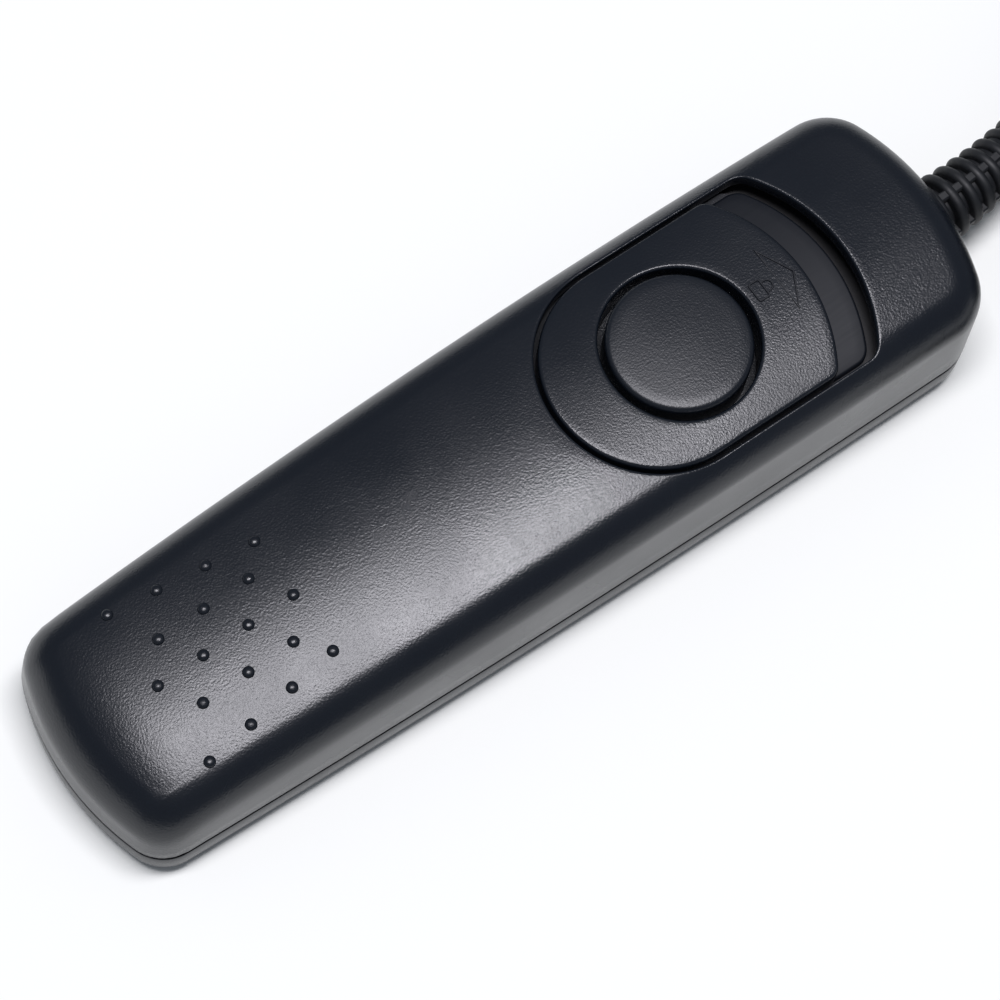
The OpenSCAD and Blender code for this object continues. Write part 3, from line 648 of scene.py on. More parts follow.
# ---- settings ------------------------------------------------------------------------------------
class HousingSettings(bpy.types.PropertyGroup):
    """Finish and edges of the moulded pieces."""

    plastic_hex: bpy.props.StringProperty(
        name="Plastic", description="Colour of the moulded housing", default="#0C1118"
    )
    grain: bpy.props.FloatProperty(
        name="Grain", description="Width of the spark-eroded grain", default=0.2 * MM, unit="LENGTH"
    )
    grain_depth: bpy.props.FloatProperty(
        name="Grain depth", description="Depth of the grain", default=0.025 * MM, unit="LENGTH"
    )
    rim_rounding: bpy.props.FloatProperty(
        name="Rim", description="Rounding of the opening's edge", default=0.3 * MM, unit="LENGTH"
    )
    pip_radius: bpy.props.FloatProperty(
        name="Pip radius", description="Radius of a grip pip at the deck", default=0.56 * MM, unit="LENGTH"
    )
    pip_height: bpy.props.FloatProperty(
        name="Pip height", description="Height of a grip pip", default=0.33 * MM, unit="LENGTH"
    )


class ControlSettings(bpy.types.PropertyGroup):
    """Edges and marks of the slider and the button."""

    edge_rounding: bpy.props.FloatProperty(
        name="Edges", description="Rounding of the slider plate's edges", default=0.35 * MM, unit="LENGTH"
    )
    cap_rounding: bpy.props.FloatProperty(
        name="Cap edge", description="Rounding of the button's edge", default=0.6 * MM, unit="LENGTH"
    )
    mark_height: bpy.props.FloatProperty(
        name="Mark height", description="Height of the raised marks", default=0.13 * MM, unit="LENGTH"
    )
    mark_width: bpy.props.FloatProperty(
        name="Mark width", description="Width of the raised lines", default=0.2 * MM, unit="LENGTH"
    )


class CableSettings(bpy.types.PropertyGroup):
    """The cable and its strain relief."""

    jacket_hex: bpy.props.StringProperty(name="Jacket", description="Colour of the vinyl", default="#0D1014")
    points_per_turn: bpy.props.IntProperty(
        name="Points per turn", description="Curve points in one turn of the coil", default=24, min=12
    )
    rib_count: bpy.props.IntProperty(name="Ribs", description="Ribs of the strain relief", default=8, min=4)


class StageSettings(bpy.types.PropertyGroup):
    """Camera, floor and lamps."""

    azimuth: bpy.props.FloatProperty(
        name="Azimuth", description="Camera azimuth", default=math.radians(-136.546), subtype="ANGLE"
    )
    elevation: bpy.props.FloatProperty(
        name="Elevation", description="Camera elevation", default=math.radians(68.628), subtype="ANGLE"
    )
    roll: bpy.props.FloatProperty(
        name="Roll", description="Camera roll", default=math.radians(11.852), subtype="ANGLE"
    )
    distance: bpy.props.FloatProperty(
        name="Distance", description="Camera distance from its target", default=319.74 * MM, unit="LENGTH"
    )
    target: bpy.props.FloatVectorProperty(
        name="Target", description="Point the camera looks at", default=(0.41 * MM, 1.04 * MM, 0.0)
    )
    lens: bpy.props.FloatProperty(name="Lens", description="Focal length in mm on a 36 mm sensor", default=121.14)
    floor_hex: bpy.props.StringProperty(name="Floor", description="Colour of the table", default="#F2F2F4")
    key_power: bpy.props.FloatProperty(name="Key", description="Power of the overhead panel", default=5.8)
    sky: bpy.props.FloatProperty(name="Sky", description="Strength of the room's light", default=0.22)


# ---- stage ---------------------------------------------------------------------------------------
PANEL_DISTANCE = 0.8
PANEL_LENGTH = 0.5
PANEL_WIDTH = 0.13
PANEL_TOWARDS = (0.01, 0.01, 1.0)
PANEL_EDGE_ACROSS = (0.34, 0.94, 0)
PANEL_TINT = (0.955, 0.94, 1.0)
SKY_TINT = (0.8, 0.86, 1.0, 1)
CARD_HALF = 1.5
# The card as the camera and gloss see it: near white under the panel's slightly violet light
SEEN_CARD = (1.009125, 1.02375, 0.975, 1.0)


class RELEASE_OT_stage(bpy.types.Operator):
    """Adds the camera, the white table, a soft overhead panel and the room's light"""

    bl_idname = "release.stage"
    bl_label = "Stage"

    def execute(self, context):
        stage = context.scene.release_stage
        self.add_camera(context, stage)
        self.add_floor(context, stage)
        self.add_lights(context, stage)
        return {"FINISHED"}

    def add_camera(self, context, stage):
        flat = math.cos(stage.elevation)
        back = Vector((flat * math.cos(stage.azimuth), flat * math.sin(stage.azimuth), math.sin(stage.elevation)))
        right = (-back).cross(Vector((0, 0, 1))).normalized()
        up = right.cross(-back)
        c, s = math.cos(stage.roll), math.sin(stage.roll)
        right, up = c * right + s * up, c * up - s * right
        data = bpy.data.cameras.new("view_camera")
        data.lens = stage.lens
        data.sensor_width = 36
        data.clip_start = 0.01
        camera = bpy.data.objects.new("view_camera", data)
        turn = Matrix((right, up, back)).transposed().to_4x4()
        place = Vector(stage.target) + back * stage.distance
        camera.matrix_world = Matrix.Translation(place) @ turn
        context.scene.collection.objects.link(camera)
        context.scene.camera = camera

    def add_floor(self, context, stage):
        """White card, which lights the object in its own colour and is seen as near white."""
        material, tree = new_material("white_card")
        path = add_node(tree, "ShaderNodeLightPath")
        seen = add_node(
            tree,
            "ShaderNodeMath",
            {"operation": "MAXIMUM"},
            {0: path.outputs["Is Camera Ray"], 1: path.outputs["Is Glossy Ray"]},
        )
        seen = add_node(
            tree,
            "ShaderNodeMath",
            {"operation": "MAXIMUM"},
            {0: seen.outputs[0], 1: path.outputs["Is Transmission Ray"]},
        )
        tone = add_node(
            tree,
            "ShaderNodeMix",
            {"data_type": "RGBA", "clamp_result": False, 6: srgb(stage.floor_hex), 7: SEEN_CARD},
            {0: seen.outputs[0]},
        )
        card = add_node(tree, "ShaderNodeBsdfDiffuse", links={"Color": tone.outputs[2]})
        finish_material(material, card)
        bm = bmesh.new()
        bmesh.ops.create_grid(bm, x_segments=1, y_segments=1, size=CARD_HALF)
        mesh = bpy.data.meshes.new("table_card")
        bm.to_mesh(mesh)
        bm.free()
        mesh.materials.append(material)
        floor = bpy.data.objects.new("table_card", mesh)
        context.scene.collection.objects.link(floor)

    def add_lights(self, context, stage):
        data = bpy.data.lights.new("overhead_panel", "AREA")
        data.shape = "RECTANGLE"
        data.size = PANEL_LENGTH
        data.size_y = PANEL_WIDTH
        data.energy = stage.key_power
        data.color = PANEL_TINT
        panel = bpy.data.objects.new("overhead_panel", data)
        aim = Vector(PANEL_TOWARDS).normalized()
        panel.matrix_world = Matrix.Translation(aim * PANEL_DISTANCE) @ look_along(aim, PANEL_EDGE_ACROSS).to_4x4()
        context.scene.collection.objects.link(panel)
        world = bpy.data.worlds.new("room")
        world.use_nodes = True
        world.node_tree.nodes.clear()
        sky = add_node(
            world.node_tree,
            "ShaderNodeBackground",
            {"Color": SKY_TINT, "Strength": stage.sky},
        )
        add_node(world.node_tree, "ShaderNodeOutputWorld", links={"Surface": sky.outputs[0]})
        context.scene.world = world
        context.scene.view_settings.view_transform = "Standard"


# ---- cable ---------------------------------------------------------------------------------------
# The coil is two turns wide: (turn, radius, height above the lowest turn) where its course changes
OUTER = COIL_MID_R + COIL_PITCH / 2
INNER = COIL_MID_R - COIL_PITCH / 2
COIL_COURSE = [
    (0.0, OUTER, 1.65 * COIL_PITCH),
    (1.35, OUTER, 3.1 * COIL_PITCH),
    (1.55, INNER, 3.1 * COIL_PITCH),
    (4.55, INNER, 0.0),
    (4.75, OUTER, 0.0),
    (5.5, OUTER, 0.0),
]
LEAD_IN = [(72.4, 4.6, 7.05), (77.2, 6.95, 7.6), (82, 9, 8.2)]
LEAD_OUT = [(84.4, PLUG_END.y, 2.6), (81.75, PLUG_END.y, 3), (79.1, PLUG_END.y, 3.4)]
STRAIGHT_L = 2.5


def boot_place(s):
    """Point and direction on the strain relief's axis, s along it."""
    a = s / BOOT_BEND_R
    point = Vector((BOOT_START_X + BOOT_BEND_R * math.sin(a), BOOT_BEND_R * (1 - math.cos(a)), EXIT_Z))
    return point, Vector((math.cos(a), math.sin(a), 0))


def cable_route(points_per_turn):
    """The cable's centre line, from the strain relief through the coil to the plug."""
    start, along = boot_place(BOOT_L)
    route = [tuple(start), tuple(start + along * STRAIGHT_L)] + LEAD_IN
    for (begin, r0, z0), (end, r1, z1) in zip(COIL_COURSE, COIL_COURSE[1:]):
        count = max(2, round((end - begin) * points_per_turn))
        for i in range(count):
            share = i / count
            a = math.radians(90 - 360 * (begin + (end - begin) * share))
            r = r0 + (r1 - r0) * smoothstep(share)
            height = COIL_BOTTOM_Z + z0 + (z1 - z0) * share
            route.append((COIL_AT.x + r * math.cos(a), COIL_AT.y + r * math.sin(a), height))
    route.append((COIL_AT.x, COIL_AT.y - OUTER, COIL_BOTTOM_Z))
    return route + LEAD_OUT + [(PLUG_END.x + STRAIGHT_L, PLUG_END.y, PLUG_END.z), tuple(PLUG_END)]


class RELEASE_OT_cable(bpy.types.Operator):
    """Lays the cable from the strain relief through its coil to the plug"""

    bl_idname = "release.cable"
    bl_label = "Cable"

    def execute(self, context):
        settings = context.scene.release_cable
        vinyl = soft_vinyl("extruded_vinyl_jacket", settings.jacket_hex, 0.42)
        route = cable_route(settings.points_per_turn)
        curve = bpy.data.curves.new("release_cable", "CURVE")
        curve.dimensions = "3D"
        curve.resolution_u = 5
        curve.bevel_depth = CABLE_D / 2 * MM
        curve.bevel_resolution = 6
        curve.use_fill_caps = True
        spline = curve.splines.new("BEZIER")
        spline.bezier_points.add(len(route) - 1)
        for point, place in zip(spline.bezier_points, route):
            point.co = Vector(place) * MM
            point.handle_left_type = "AUTO"
            point.handle_right_type = "AUTO"
        curve.materials.append(vinyl)
        cable = bpy.data.objects.new("release_cable", curve)
        context.scene.collection.objects.link(cable)
        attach(cable, HANDSET)
        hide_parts("cable_lead_in", "cable_coil", "cable_lead_out")
        boot = self.add_boot(settings)
        strap = self.add_strap()
        return {"FINISHED"}

    def add_boot(self, settings):
        """Ribbed strain relief: rounded ribs on a core, with small bridges across every gap."""
        vinyl = soft_vinyl("overmoulded_vinyl", settings.jacket_hex, 0.55)
        pitch = 1.78
        half = 0.55
        core_r = 2.3
        first_r, last_r = 3.6, 2.75
        bm = bmesh.new()
        profile = [(0.0, core_r)]
        for i in range(settings.rib_count):
            centre = (i + 0.5) * pitch
            r = first_r + (last_r - first_r) * i / (settings.rib_count - 1)
            profile += [(centre - half, core_r), (centre - half, r - half)]
            profile += [
                (centre - half * math.cos(a), r - half + half * math.sin(a))
                for a in [math.radians(d) for d in range(15, 180, 15)]
            ]
            profile += [(centre + half, r - half), (centre + half, core_r)]
        profile += [(BOOT_L - 0.25, core_r), (BOOT_L - 0.05, core_r - 0.12), (BOOT_L, core_r - 0.3)]
        sides = 48
        rings = []
        for s, r in profile:
            place, along = boot_place(s)
            turn = look_along(along)
            ring = [
                place + turn @ Vector((r * math.cos(a), r * math.sin(a), 0))
                for a in [2 * math.pi * k / sides for k in range(sides)]
            ]
            rings.append(ring)
        add_rings(bm, rings)
        for i in range(settings.rib_count - 1):
            r = first_r + (last_r - first_r) * (i + 0.5) / (settings.rib_count - 1) - 0.3
            for quarter in range(4):
                self.add_bridge(bm, (i + 1) * pitch, r, quarter)
        self.add_neck(bm)
        return make_piece("strain_relief_boot", bm, [vinyl], HANDSET, ["strain_relief"])

    def add_bridge(self, bm, s, r, quarter):
        """A small block that joins two ribs across their gap."""
        half_w, half_l, depth = 0.45, 0.5, 1.2
        spin = Matrix.Rotation(math.radians(90 * quarter), 3, "Z")
        rings = []
        for shift in (-half_l, half_l):
            place, along = boot_place(s + shift)
            turn = look_along(along) @ spin
            corners = [(-half_w, r - depth), (half_w, r - depth), (half_w, r - 0.15), (half_w - 0.15, r)]
            corners += [(0.15 - half_w, r), (-half_w, r - 0.15)]
            rings.append([place + turn @ Vector((x, y, 0)) for x, y in corners])
        add_rings(bm, rings)

    def add_neck(self, bm):
        """The neck through the housing's wall, and the flange behind it."""
        neck_r, flange_r, flange_x, flange_t = 2.9, 4.2, 45.8, 1.4
        profile = [(flange_x, flange_r), (flange_x + flange_t, flange_r), (flange_x + flange_t, neck_r)]
        profile += [(BOOT_START_X, neck_r)]
        sides = 48
        rings = [
            [
                (x, r * math.cos(a), EXIT_Z + r * math.sin(a))
                for a in [2 * math.pi * k / sides for k in range(sides)]
            ]
            for x, r in profile
        ]
        add_rings(bm, rings)

    def add_strap(self):
        """Strap round one side of the coil, with rounded corners."""
        web = woven_strap("woven_nylon_strap", "#0E0E10", 0.55)
        low, high = node_box_mm("coil_tie")
        thick = 0.5
        radius = 1.6
        half_w = (high.y - low.y) / 2
        mid_y = (high.y + low.y) / 2
        bm = bmesh.new()

        def loop(inset):
            x0, x1 = low.x + inset, high.x - inset
            z0, z1 = low.z + inset, high.z - inset
            r = radius - inset
            corners = [((x0 + r, z0 + r), 180), ((x1 - r, z0 + r), 270), ((x1 - r, z1 - r), 0)]
            corners += [((x0 + r, z1 - r), 90)]
            return [p for mid, a in corners for p in sweep(mid, r, a, a + 90, 8)]

        rings = []
        for inset, y in ((0.1, -half_w), (0, 0.1 - half_w), (0, half_w - 0.1), (0.1, half_w)):
            rings.append([(x, mid_y + y, z) for x, z in loop(inset)])
        for inset, y in ((thick, half_w), (thick, -half_w)):
            rings.append([(x, mid_y + y, z) for x, z in loop(inset)])
        add_rings(bm, rings, looped=True)
        return make_piece("coil_strap", bm, [web], HANDSET, ["coil_tie"])


# ---- housing -------------------------------------------------------------------------------------
PIP_PITCH = 4.8
PIP_X = -38.7
PIP_ROW_Y = 3.55
PIP_OUTER_Y = 6.2
PIP_SPLAY = 0.66
CASE_SCREWS = [(-40.0, 0.0), (42.5, 8.8), (42.5, -8.8)]
HEAD_RECESS_R = 2.0
HEAD_RECESS_H = 1.8
POST_R = 2.9
POST_TOP = 5.8


def pip_places():
    """A middle row, two inner rows half a pitch on, and two splayed outer rows."""
    places = [(PIP_X + i * PIP_PITCH, 0.0) for i in range(4)]
    for side in (-1, 1):
        places += [(PIP_X + (i + 0.5) * PIP_PITCH, side * PIP_ROW_Y) for i in range(3)]
        places += [(PIP_X + i * PIP_PITCH, side * (PIP_OUTER_Y + (3 - i) * PIP_SPLAY)) for i in range(4)]
    return places


class RELEASE_OT_top_shell(bpy.types.Operator):
    """Moulds the upper shell: crowned deck, rounded shoulder, opening with a rim, and grip pips"""

    bl_idname = "release.top_shell"
    bl_label = "Top shell"

    def execute(self, context):
        settings = context.scene.release_housing
        abs_black = housing_abs("spark_eroded_abs", settings, SHELL_ROUGHNESS)
        bm = bmesh.new()
        add_rings(bm, self.shell_rings(settings.rim_rounding / MM), looped=True)
        for place in pip_places():
            self.add_pip(bm, place, settings.pip_radius / MM, settings.pip_height / MM)
        for place in CASE_SCREWS:
            self.add_boss(bm, place)
        make_piece("top_shell_moulding", bm, [abs_black], HANDSET, ["top_shell"], crease=40)
        return {"FINISHED"}

    def shell_rings(self, rim):
        """Rings that run up the wall, over the deck, down the opening and back along the inside."""
        centre = (BUTTON_X, 0.0)
        rays = spread_rays([housing_outline(0), opening_outline(0)], centre, 2.5)
        roof = Roof(centre, rays, DRAFT, SHOULDER_R, 0.0)
        ceiling = Roof(centre, rays, WALL + DRAFT, SHOULDER_R - WALL, WALL)

        def wall_at(inset):
            return ray_hits(housing_outline(inset), centre, rays)

        def mouth_at(inset):
            return ray_hits(opening_outline(inset), centre, rays)

        bottom = PART_Z + SEAM_GAP / 2
        rings = [lifted(wall_at(SEAM_EDGE_R), bottom), lifted(wall_at(0.3 * SEAM_EDGE_R), bottom + 0.3 * SEAM_EDGE_R)]
        rings.append(lifted(wall_at(0), bottom + SEAM_EDGE_R))
        foot, head = rings[-1], lifted(wall_at(DRAFT), lambda x, y: deck(x, y) - SHOULDER_R)
        for share in (0.33, 0.67):
            rings.append([tuple(p + (q - p) * share for p, q in zip(a, b)) for a, b in zip(foot, head)])
        rings += roof.rings_to(mouth_at(-rim), 12, 22)
        for step in range(1, 7):
            a = math.radians(90 * step / 6)
            points = mouth_at(-rim * (1 - math.sin(a)))
            rings.append(roof.lifted(points, -rim * (1 - math.cos(a))))
        inside = ceiling.rings_to(mouth_at(0), 5, 7)
        rings += inside[::-1]
        rebate = WALL - TONGUE_W - TONGUE_FIT
        rings.append(lifted(wall_at(WALL), TONGUE_TOP + TONGUE_FIT / 2))
        rings.append(lifted(wall_at(rebate), TONGUE_TOP + TONGUE_FIT / 2))
        rings.append(lifted(wall_at(rebate), bottom))
        return rings

    def add_pip(self, bm, place, radius, height):
        """A low dome with a soft foot, rooted below the deck."""
        x, y = place
        top = deck(x, y)
        profile = [(radius * 1.05, top - 0.25), (radius * 1.05, top - 0.02)]
        steps = 7
        for i in range(steps):
            a = math.radians(90 * i / steps)
            profile.append((radius * math.cos(a), top + height * math.sin(a)))
        profile.append((0.06 * radius, top + height))
        add_rings(bm, lathe_rings(profile, place, 20))

    def add_boss(self, bm, place):
        """Tube under the deck that takes a case screw."""
        bore_r, outer_r = 1.0, 2.3
        top = deck(*place) - 0.8
        profile = [(bore_r, POST_TOP), (outer_r, POST_TOP), (outer_r, top), (bore_r, top - 1)]
        add_rings(bm, lathe_rings(profile, place, 32), looped=True)


class RELEASE_OT_bottom_shell(bpy.types.Operator):
    """Moulds the lower shell: rounded foot, tongue and recesses for the screws"""

    bl_idname = "release.bottom_shell"
    bl_label = "Bottom shell"

    def execute(self, context):
        settings = context.scene.release_housing
        abs_black = housing_abs("spark_eroded_abs_base", settings, SHELL_ROUGHNESS)
        # Painted shade: the rebate behind the parting line is near black and matt, so the seam shows as a dark shadow
        # line.
        seam_shade_abs = moulded_plastic("painted_seam_shade_abs", "#040506", 0.3, 0.02, 0.9, gleam=0.1)
        top = PART_Z - SEAM_GAP / 2
        rings = [
            [(x * share, y * share, 0.0) for x, y in housing_outline(FOOT_R)] for share in (0.02, 0.35, 0.7, 0.95)
        ]
        for step in range(9):
            a = math.radians(90 - 90 * step / 8)
            rings.append(lifted(housing_outline(FOOT_R * (1 - math.cos(a))), FOOT_R * (1 - math.sin(a))))
        rings.append(lifted(housing_outline(0), top - SEAM_EDGE_R))
        rings.append(lifted(housing_outline(0.3 * SEAM_EDGE_R), top - 0.3 * SEAM_EDGE_R))
        rings.append(lifted(housing_outline(SEAM_EDGE_R), top))
        rings.append(lifted(housing_outline(WALL - TONGUE_W), top))
        rings.append(lifted(housing_outline(WALL - TONGUE_W), TONGUE_TOP))
        rings.append(lifted(housing_outline(WALL), TONGUE_TOP))
        rings.append(lifted(housing_outline(WALL), WALL))
        rings += [[(x * share, y * share, WALL) for x, y in housing_outline(WALL)] for share in (0.6, 0.02)]
        bm = bmesh.new()
        # Faces above the parting line's top take the painted seam shade.
        for face in add_rings(bm, rings):
            if face.calc_center_median().z > (top - 0.001) * MM:
                face.material_index = 1
        for place in CASE_SCREWS:
            add_rings(
                bm,
                lathe_rings([(1.1, 3.2), (POST_R, WALL - 0.2), (POST_R, POST_TOP), (1.1, POST_TOP)], place, 40),
                looped=True,
            )
        tray = make_piece(
            "bottom_shell_moulding", bm, [abs_black, seam_shade_abs], HANDSET, ["bottom_shell"]
        )
        self.cut_recesses(context, tray)
        return {"FINISHED"}

    def cut_recesses(self, context, tray):
        """Counterbores for the heads of the case screws."""
        bm = bmesh.new()
        for place in CASE_SCREWS:
            add_rings(bm, lathe_rings([(HEAD_RECESS_R, -1), (HEAD_RECESS_R, HEAD_RECESS_H)], place, 40))
        bmesh.ops.recalc_face_normals(bm, faces=bm.faces)
        mesh = bpy.data.meshes.new("recess_cutter")
        bm.to_mesh(mesh)
        bm.free()
        cutter = bpy.data.objects.new("recess_cutter", mesh)
        context.scene.collection.objects.link(cutter)
        cut = tray.modifiers.new("recesses", "BOOLEAN")
        cut.operation = "DIFFERENCE"
        cut.object = cutter
        cut.solver = "EXACT"
        depsgraph = context.evaluated_depsgraph_get()
        shaped = bpy.data.meshes.new_from_object(tray.evaluated_get(depsgraph))
        tray.modifiers.remove(cut)
        tray.data = shaped
        bpy.data.objects.remove(cutter)


# ---- controls ------------------------------------------------------------------------------------
ARROW_BASE_X = 29.7
ARROW_TIP = (31.45, -0.2)
ARROW_HALF = 3.4
LOCK_X = 27.6


class RELEASE_OT_slider(bpy.types.Operator):
    """Moulds the hold slider: crowned plate with raised marks, ledge, flange and cam"""

    bl_idname = "release.slider"
    bl_label = "Hold slider"

    def execute(self, context):
        housing = context.scene.release_housing
        settings = context.scene.release_controls
        grained = housing_abs("spark_eroded_abs_slider", housing, SLIDER_ROUGHNESS)
        smooth = rubbed_plastic("rubbed_abs_ledge", "#0E1219", 0.48)
        rim = settings.edge_rounding / MM
        bm = bmesh.new()
        self.add_ring_plate(bm, plate_outline, crown, rim, 0)
        self.add_ring_plate(bm, ledge_outline, lambda x, y: crown(x, y) - LEDGE_DROP, 0.3, 1)
        self.add_flange(bm)
        self.add_cam(bm)
        self.add_arrow(bm, settings)
        self.add_padlock(bm, settings)
        make_piece(
            "hold_slider_moulding", bm, [grained, smooth], SLIDER, ["hold_slider"], crease=40
        )
        return {"FINISHED"}

    def add_ring_plate(self, bm, outline, top, rim, material):
        """A plate with a round hole for the button, with rounded edges at its rim and at the hole."""
        centre = (BUTTON_X, 0.0)
        rays = spread_rays([outline(0)], centre, 4)

        def edge_at(inset):
            return ray_hits(outline(inset), centre, rays)

        def hole_at(extra):
            r = HOLE_R + extra
            return [
                (BUTTON_X + r * math.cos(math.radians(a)), r * math.sin(math.radians(a))) for a in rays
            ]

        rings = [lifted(edge_at(0), underside)]
        for step in range(7):
            a = math.radians(90 * step / 6)
            points = edge_at(rim * (1 - math.cos(a)))
            rings.append(lifted(points, lambda x, y, a=a: top(x, y) - rim * (1 - math.sin(a))))
        outer, inner = edge_at(rim), hole_at(rim)
        for step in range(1, 10):
            rings.append(lifted(between(outer, inner, step / 10), top))
        for step in range(7):
            a = math.radians(90 * step / 6)
            points = hole_at(rim * (1 - math.sin(a)))
            rings.append(lifted(points, lambda x, y, a=a: top(x, y) - rim * (1 - math.cos(a))))
        rings.append(lifted(hole_at(0), underside))
        add_rings(bm, rings, looped=True, material=material)

    def add_flange(self, bm):
        """Thin flange that keeps the slider under the deck."""
        half, thick = 11.2, 0.75
        tail_x, front_x = OPEN_TAIL_X - SLIDE - 0.85, LEDGE_FRONT_X - 0.5
        centre = (BUTTON_X, 0.0)
        outline = d_outline(half, tail_x, front_x, LEDGE_R, OPEN_CORNER_R)
        rays = spread_rays([outline], centre, 4)
        edge = ray_hits(outline, centre, rays)
        hole = [
            (BUTTON_X + HOLE_R * math.cos(math.radians(a)), HOLE_R * math.sin(math.radians(a))) for a in rays
        ]
        rings = [lifted(edge, underside), lifted(edge, lambda x, y: underside(x, y) + thick)]
        rings += [lifted(hole, lambda x, y: underside(x, y) + thick), lifted(hole, underside)]
        add_rings(bm, rings, looped=True, material=1)

    def add_cam(self, bm):
        """Ramp under the slider that presses the common leaf when the slider is at hold."""
        x0, length, half_w = 5.6, 2.8, 2.2
        bottom = PLUNGER_Z - 0.25
        side = [(x0, SLIDER_Z), (x0, bottom), (x0 + length / 2, bottom), (x0 + length, bottom + 1.7)]
        side.append((x0 + length, SLIDER_Z))
        add_rings(bm, [[(x, y, z) for x, z in side] for y in (-half_w, half_w)], material=1)

    def add_line(self, bm, path, settings, looped):
        """A raised line on the plate along a path of (x, y) points."""
        half = settings.mark_width / MM / 2
        high = settings.mark_height / MM
        count = len(path)
        rings = []
        for i, (x, y) in enumerate(path):
            before = path[i - 1] if looped or i > 0 else path[i]
            after = path[(i + 1) % count] if looped or i < count - 1 else path[i]
            first = Vector((x - before[0], y - before[1]))
            second = Vector((after[0] - x, after[1] - y))
            first = first.normalized() if first.length > 0 else second.normalized()
            second = second.normalized() if second.length > 0 else first
            bend = (first + second).normalized()
            side = Vector((-bend.y, bend.x)) * min(2.5, 1 / max(0.4, bend.dot(first)))
            ring = []
            for across, up in ((-1, -0.1), (-1, 0.4 * high), (-0.55, high), (0.55, high), (1, 0.4 * high), (1, -0.1)):
                px, py = x + side.x * half * across, y + side.y * half * across
                ring.append((px, py, crown(px, py) + up))
            rings.append(ring)
        add_rings(bm, rings, looped=looped, material=1)

    def add_arrow(self, bm, settings):
        """Wide flat arrowhead that points towards hold."""
        path = [(ARROW_BASE_X, -ARROW_HALF), ARROW_TIP, (ARROW_BASE_X, ARROW_HALF)]
        self.add_line(bm, path, settings, True)

    def add_padlock(self, bm, settings):
        """Plain padlock sign: a rounded body and a shackle."""
        half, depth, corner = 0.95, 1.15, 0.2
        x0, x1 = LOCK_X - depth / 2, LOCK_X + depth / 2
        body = []
        for mid, start in (
            ((x0 + corner, corner - half), 180),
            ((x1 - corner, corner - half), 270),
            ((x1 - corner, half - corner), 0),
            ((x0 + corner, half - corner), 90),
        ):
            body += sweep(mid, corner, start, start + 90, 4)
        self.add_line(bm, body, settings, True)
        shackle_r = 0.55
        shackle = [(x1, -shackle_r)] + sweep((x1 + 0.35, 0.0), shackle_r, -90, 90, 10) + [(x1, shackle_r)]
        self.add_line(bm, shackle, settings, False)


class RELEASE_OT_button(bpy.types.Operator):
    """Moulds the two-stage button: domed cap, keeper flange and plunger"""

    bl_idname = "release.button"
    bl_label = "Shutter button"

    def execute(self, context):
        housing = context.scene.release_housing
        grained = housing_abs("spark_eroded_abs_button", housing, CAP_ROUGHNESS)
        rim = context.scene.release_controls.cap_rounding / MM
        edge_z = CAP_TOP - CAP_R**2 / (2 * CAP_DOME_R) - rim
        profile = [(0.05, PLUNGER_Z), (PLUNGER_R - 0.3, PLUNGER_Z), (PLUNGER_R, PLUNGER_Z + 0.3)]
        profile += [(PLUNGER_R, KEEPER_TOP - KEEPER_T), (KEEPER_R, KEEPER_TOP - KEEPER_T)]
        profile += [(KEEPER_R, KEEPER_TOP), (CAP_R, KEEPER_TOP)]
        profile += arc_profile((CAP_R - rim, edge_z), rim, 0, 84, 10)
        steps = 14
        start_r = profile[-1][0]
        for i in range(1, steps + 1):
            r = start_r * (1 - i / steps) + 0.05 * i / steps
            profile.append((r, CAP_TOP - r * r / (2 * CAP_DOME_R)))
        bm = bmesh.new()
        add_rings(bm, lathe_rings(profile, (BUTTON_X, 0.0), 128))
        make_piece("shutter_button_cap", bm, [grained], BUTTON, ["shutter_button"])
        return {"FINISHED"}


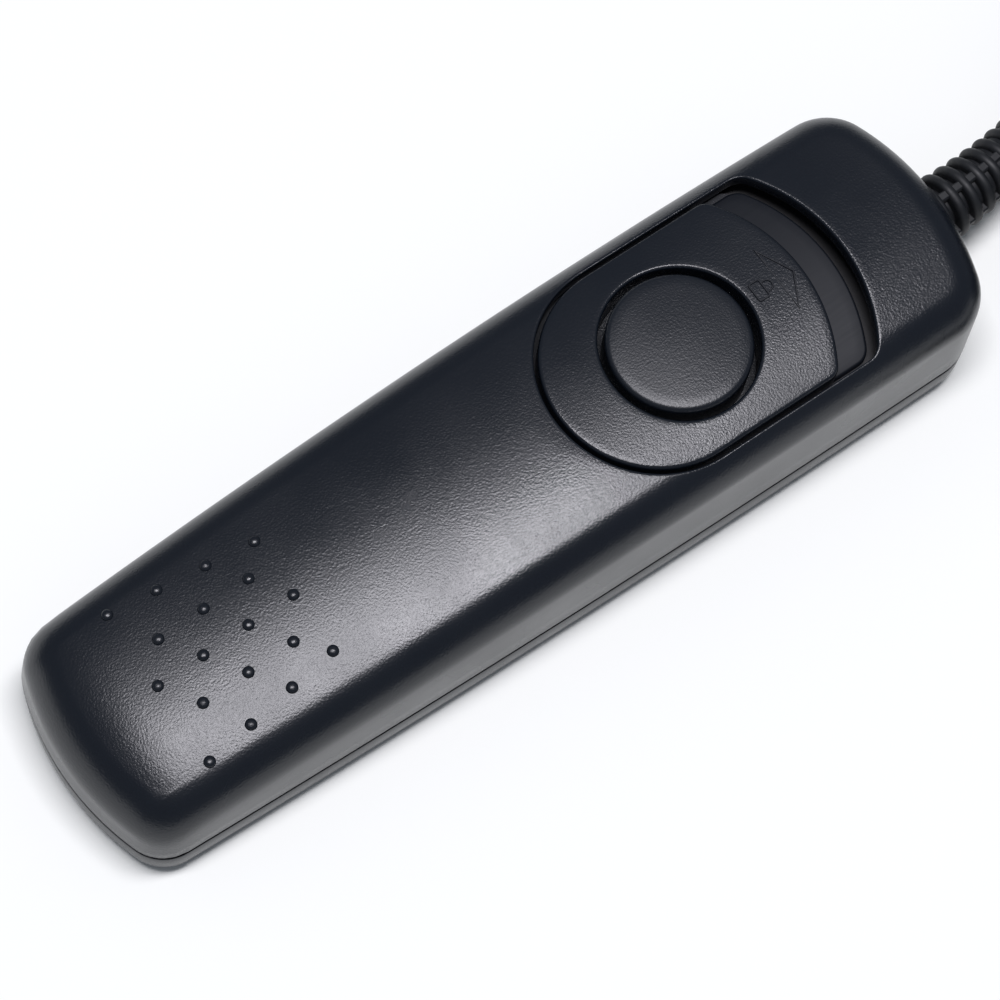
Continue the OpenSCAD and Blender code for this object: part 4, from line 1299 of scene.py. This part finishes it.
# ---- inner pieces and plug -----------------------------------------------------------------------
class RELEASE_OT_works(bpy.types.Operator):
    """Gives the switch, the screws, the cores and the plug their finishes"""

    bl_idname = "release.works"
    bl_label = "Switch and plug"

    def execute(self, context):
        cable = context.scene.release_cable
        steel = plated_metal("zinc_plated_steel", "#B9BCC2", 0.3, 0.08)
        bronze = plated_metal("rolled_phosphor_bronze", "#C79A5B", 0.28, 0.1)
        nickel = plated_metal("turned_nickel_plate", "#C9C5BC", 0.2, 0.07)
        silver = plated_metal("silver_contact", "#DADAD6", 0.3, 0.1)
        board = phenolic_board("phenolic_paper_board", "#6E4426")
        acetal = moulded_plastic("moulded_acetal", "#1B1B1D", 0.4, 0.006, 0.45)
        vinyl = soft_vinyl("overmoulded_vinyl_plug", cable.jacket_hex, 0.38)
        finishes = {
            steel: ("case_screws", "frame_screws", "stack_screws", "clamp_plate"),
            bronze: ("shutter_leaf", "focus_leaf", "common_leaf"),
            nickel: ("plug_sleeve", "plug_ring", "plug_tip"),
            silver: ("contact_rivets", "solder_joints"),
            board: ("switch_base", "lower_spacer", "upper_spacer"),
            acetal: ("guide_frame", "plug_insulators"),
            vinyl: ("plug_relief", "plug_grip", "cable_inner_end"),
            soft_vinyl("red_core", "#9E1B16", 0.4): ("common_lead",),
            soft_vinyl("yellow_core", "#D8A018", 0.4): ("focus_lead",),
            soft_vinyl("white_core", "#E4E2DC", 0.4): ("shutter_lead",),
        }
        for material, nodes in finishes.items():
            for name in nodes:
                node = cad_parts[name]
                node.data.materials.clear()
                node.data.materials.append(material)
        return {"FINISHED"}


class RELEASE_PT_panel(bpy.types.Panel):
    """Lists the pieces of the release in the sidebar"""

    bl_idname = "RELEASE_PT_panel"
    bl_label = "Wired Shutter Release"
    bl_space_type = "VIEW_3D"
    bl_region_type = "UI"
    bl_category = "Release"

    def draw(self, context):
        for operator in OPERATORS:
            self.layout.operator(operator.bl_idname)


OPERATORS = (
    RELEASE_OT_stage,
    RELEASE_OT_cable,
    RELEASE_OT_top_shell,
    RELEASE_OT_bottom_shell,
    RELEASE_OT_slider,
    RELEASE_OT_button,
    RELEASE_OT_works,
)
SETTINGS = {
    "release_housing": HousingSettings,
    "release_controls": ControlSettings,
    "release_cable": CableSettings,
    "release_stage": StageSettings,
}


def register():
    for group in SETTINGS.values():
        bpy.utils.register_class(group)
    for name, group in SETTINGS.items():
        setattr(bpy.types.Scene, name, bpy.props.PointerProperty(type=group))
    for operator in OPERATORS:
        bpy.utils.register_class(operator)
    bpy.utils.register_class(RELEASE_PT_panel)


def unregister():
    bpy.utils.unregister_class(RELEASE_PT_panel)
    for operator in reversed(OPERATORS):
        bpy.utils.unregister_class(operator)
    for name, group in SETTINGS.items():
        delattr(bpy.types.Scene, name)
        bpy.utils.unregister_class(group)


def main():
    register()
    bpy.ops.release.stage()
    bpy.ops.release.cable()
    bpy.ops.release.top_shell()
    bpy.ops.release.bottom_shell()
    bpy.ops.release.slider()
    bpy.ops.release.button()
    bpy.ops.release.works()


if __name__ == "__main__":
    main()
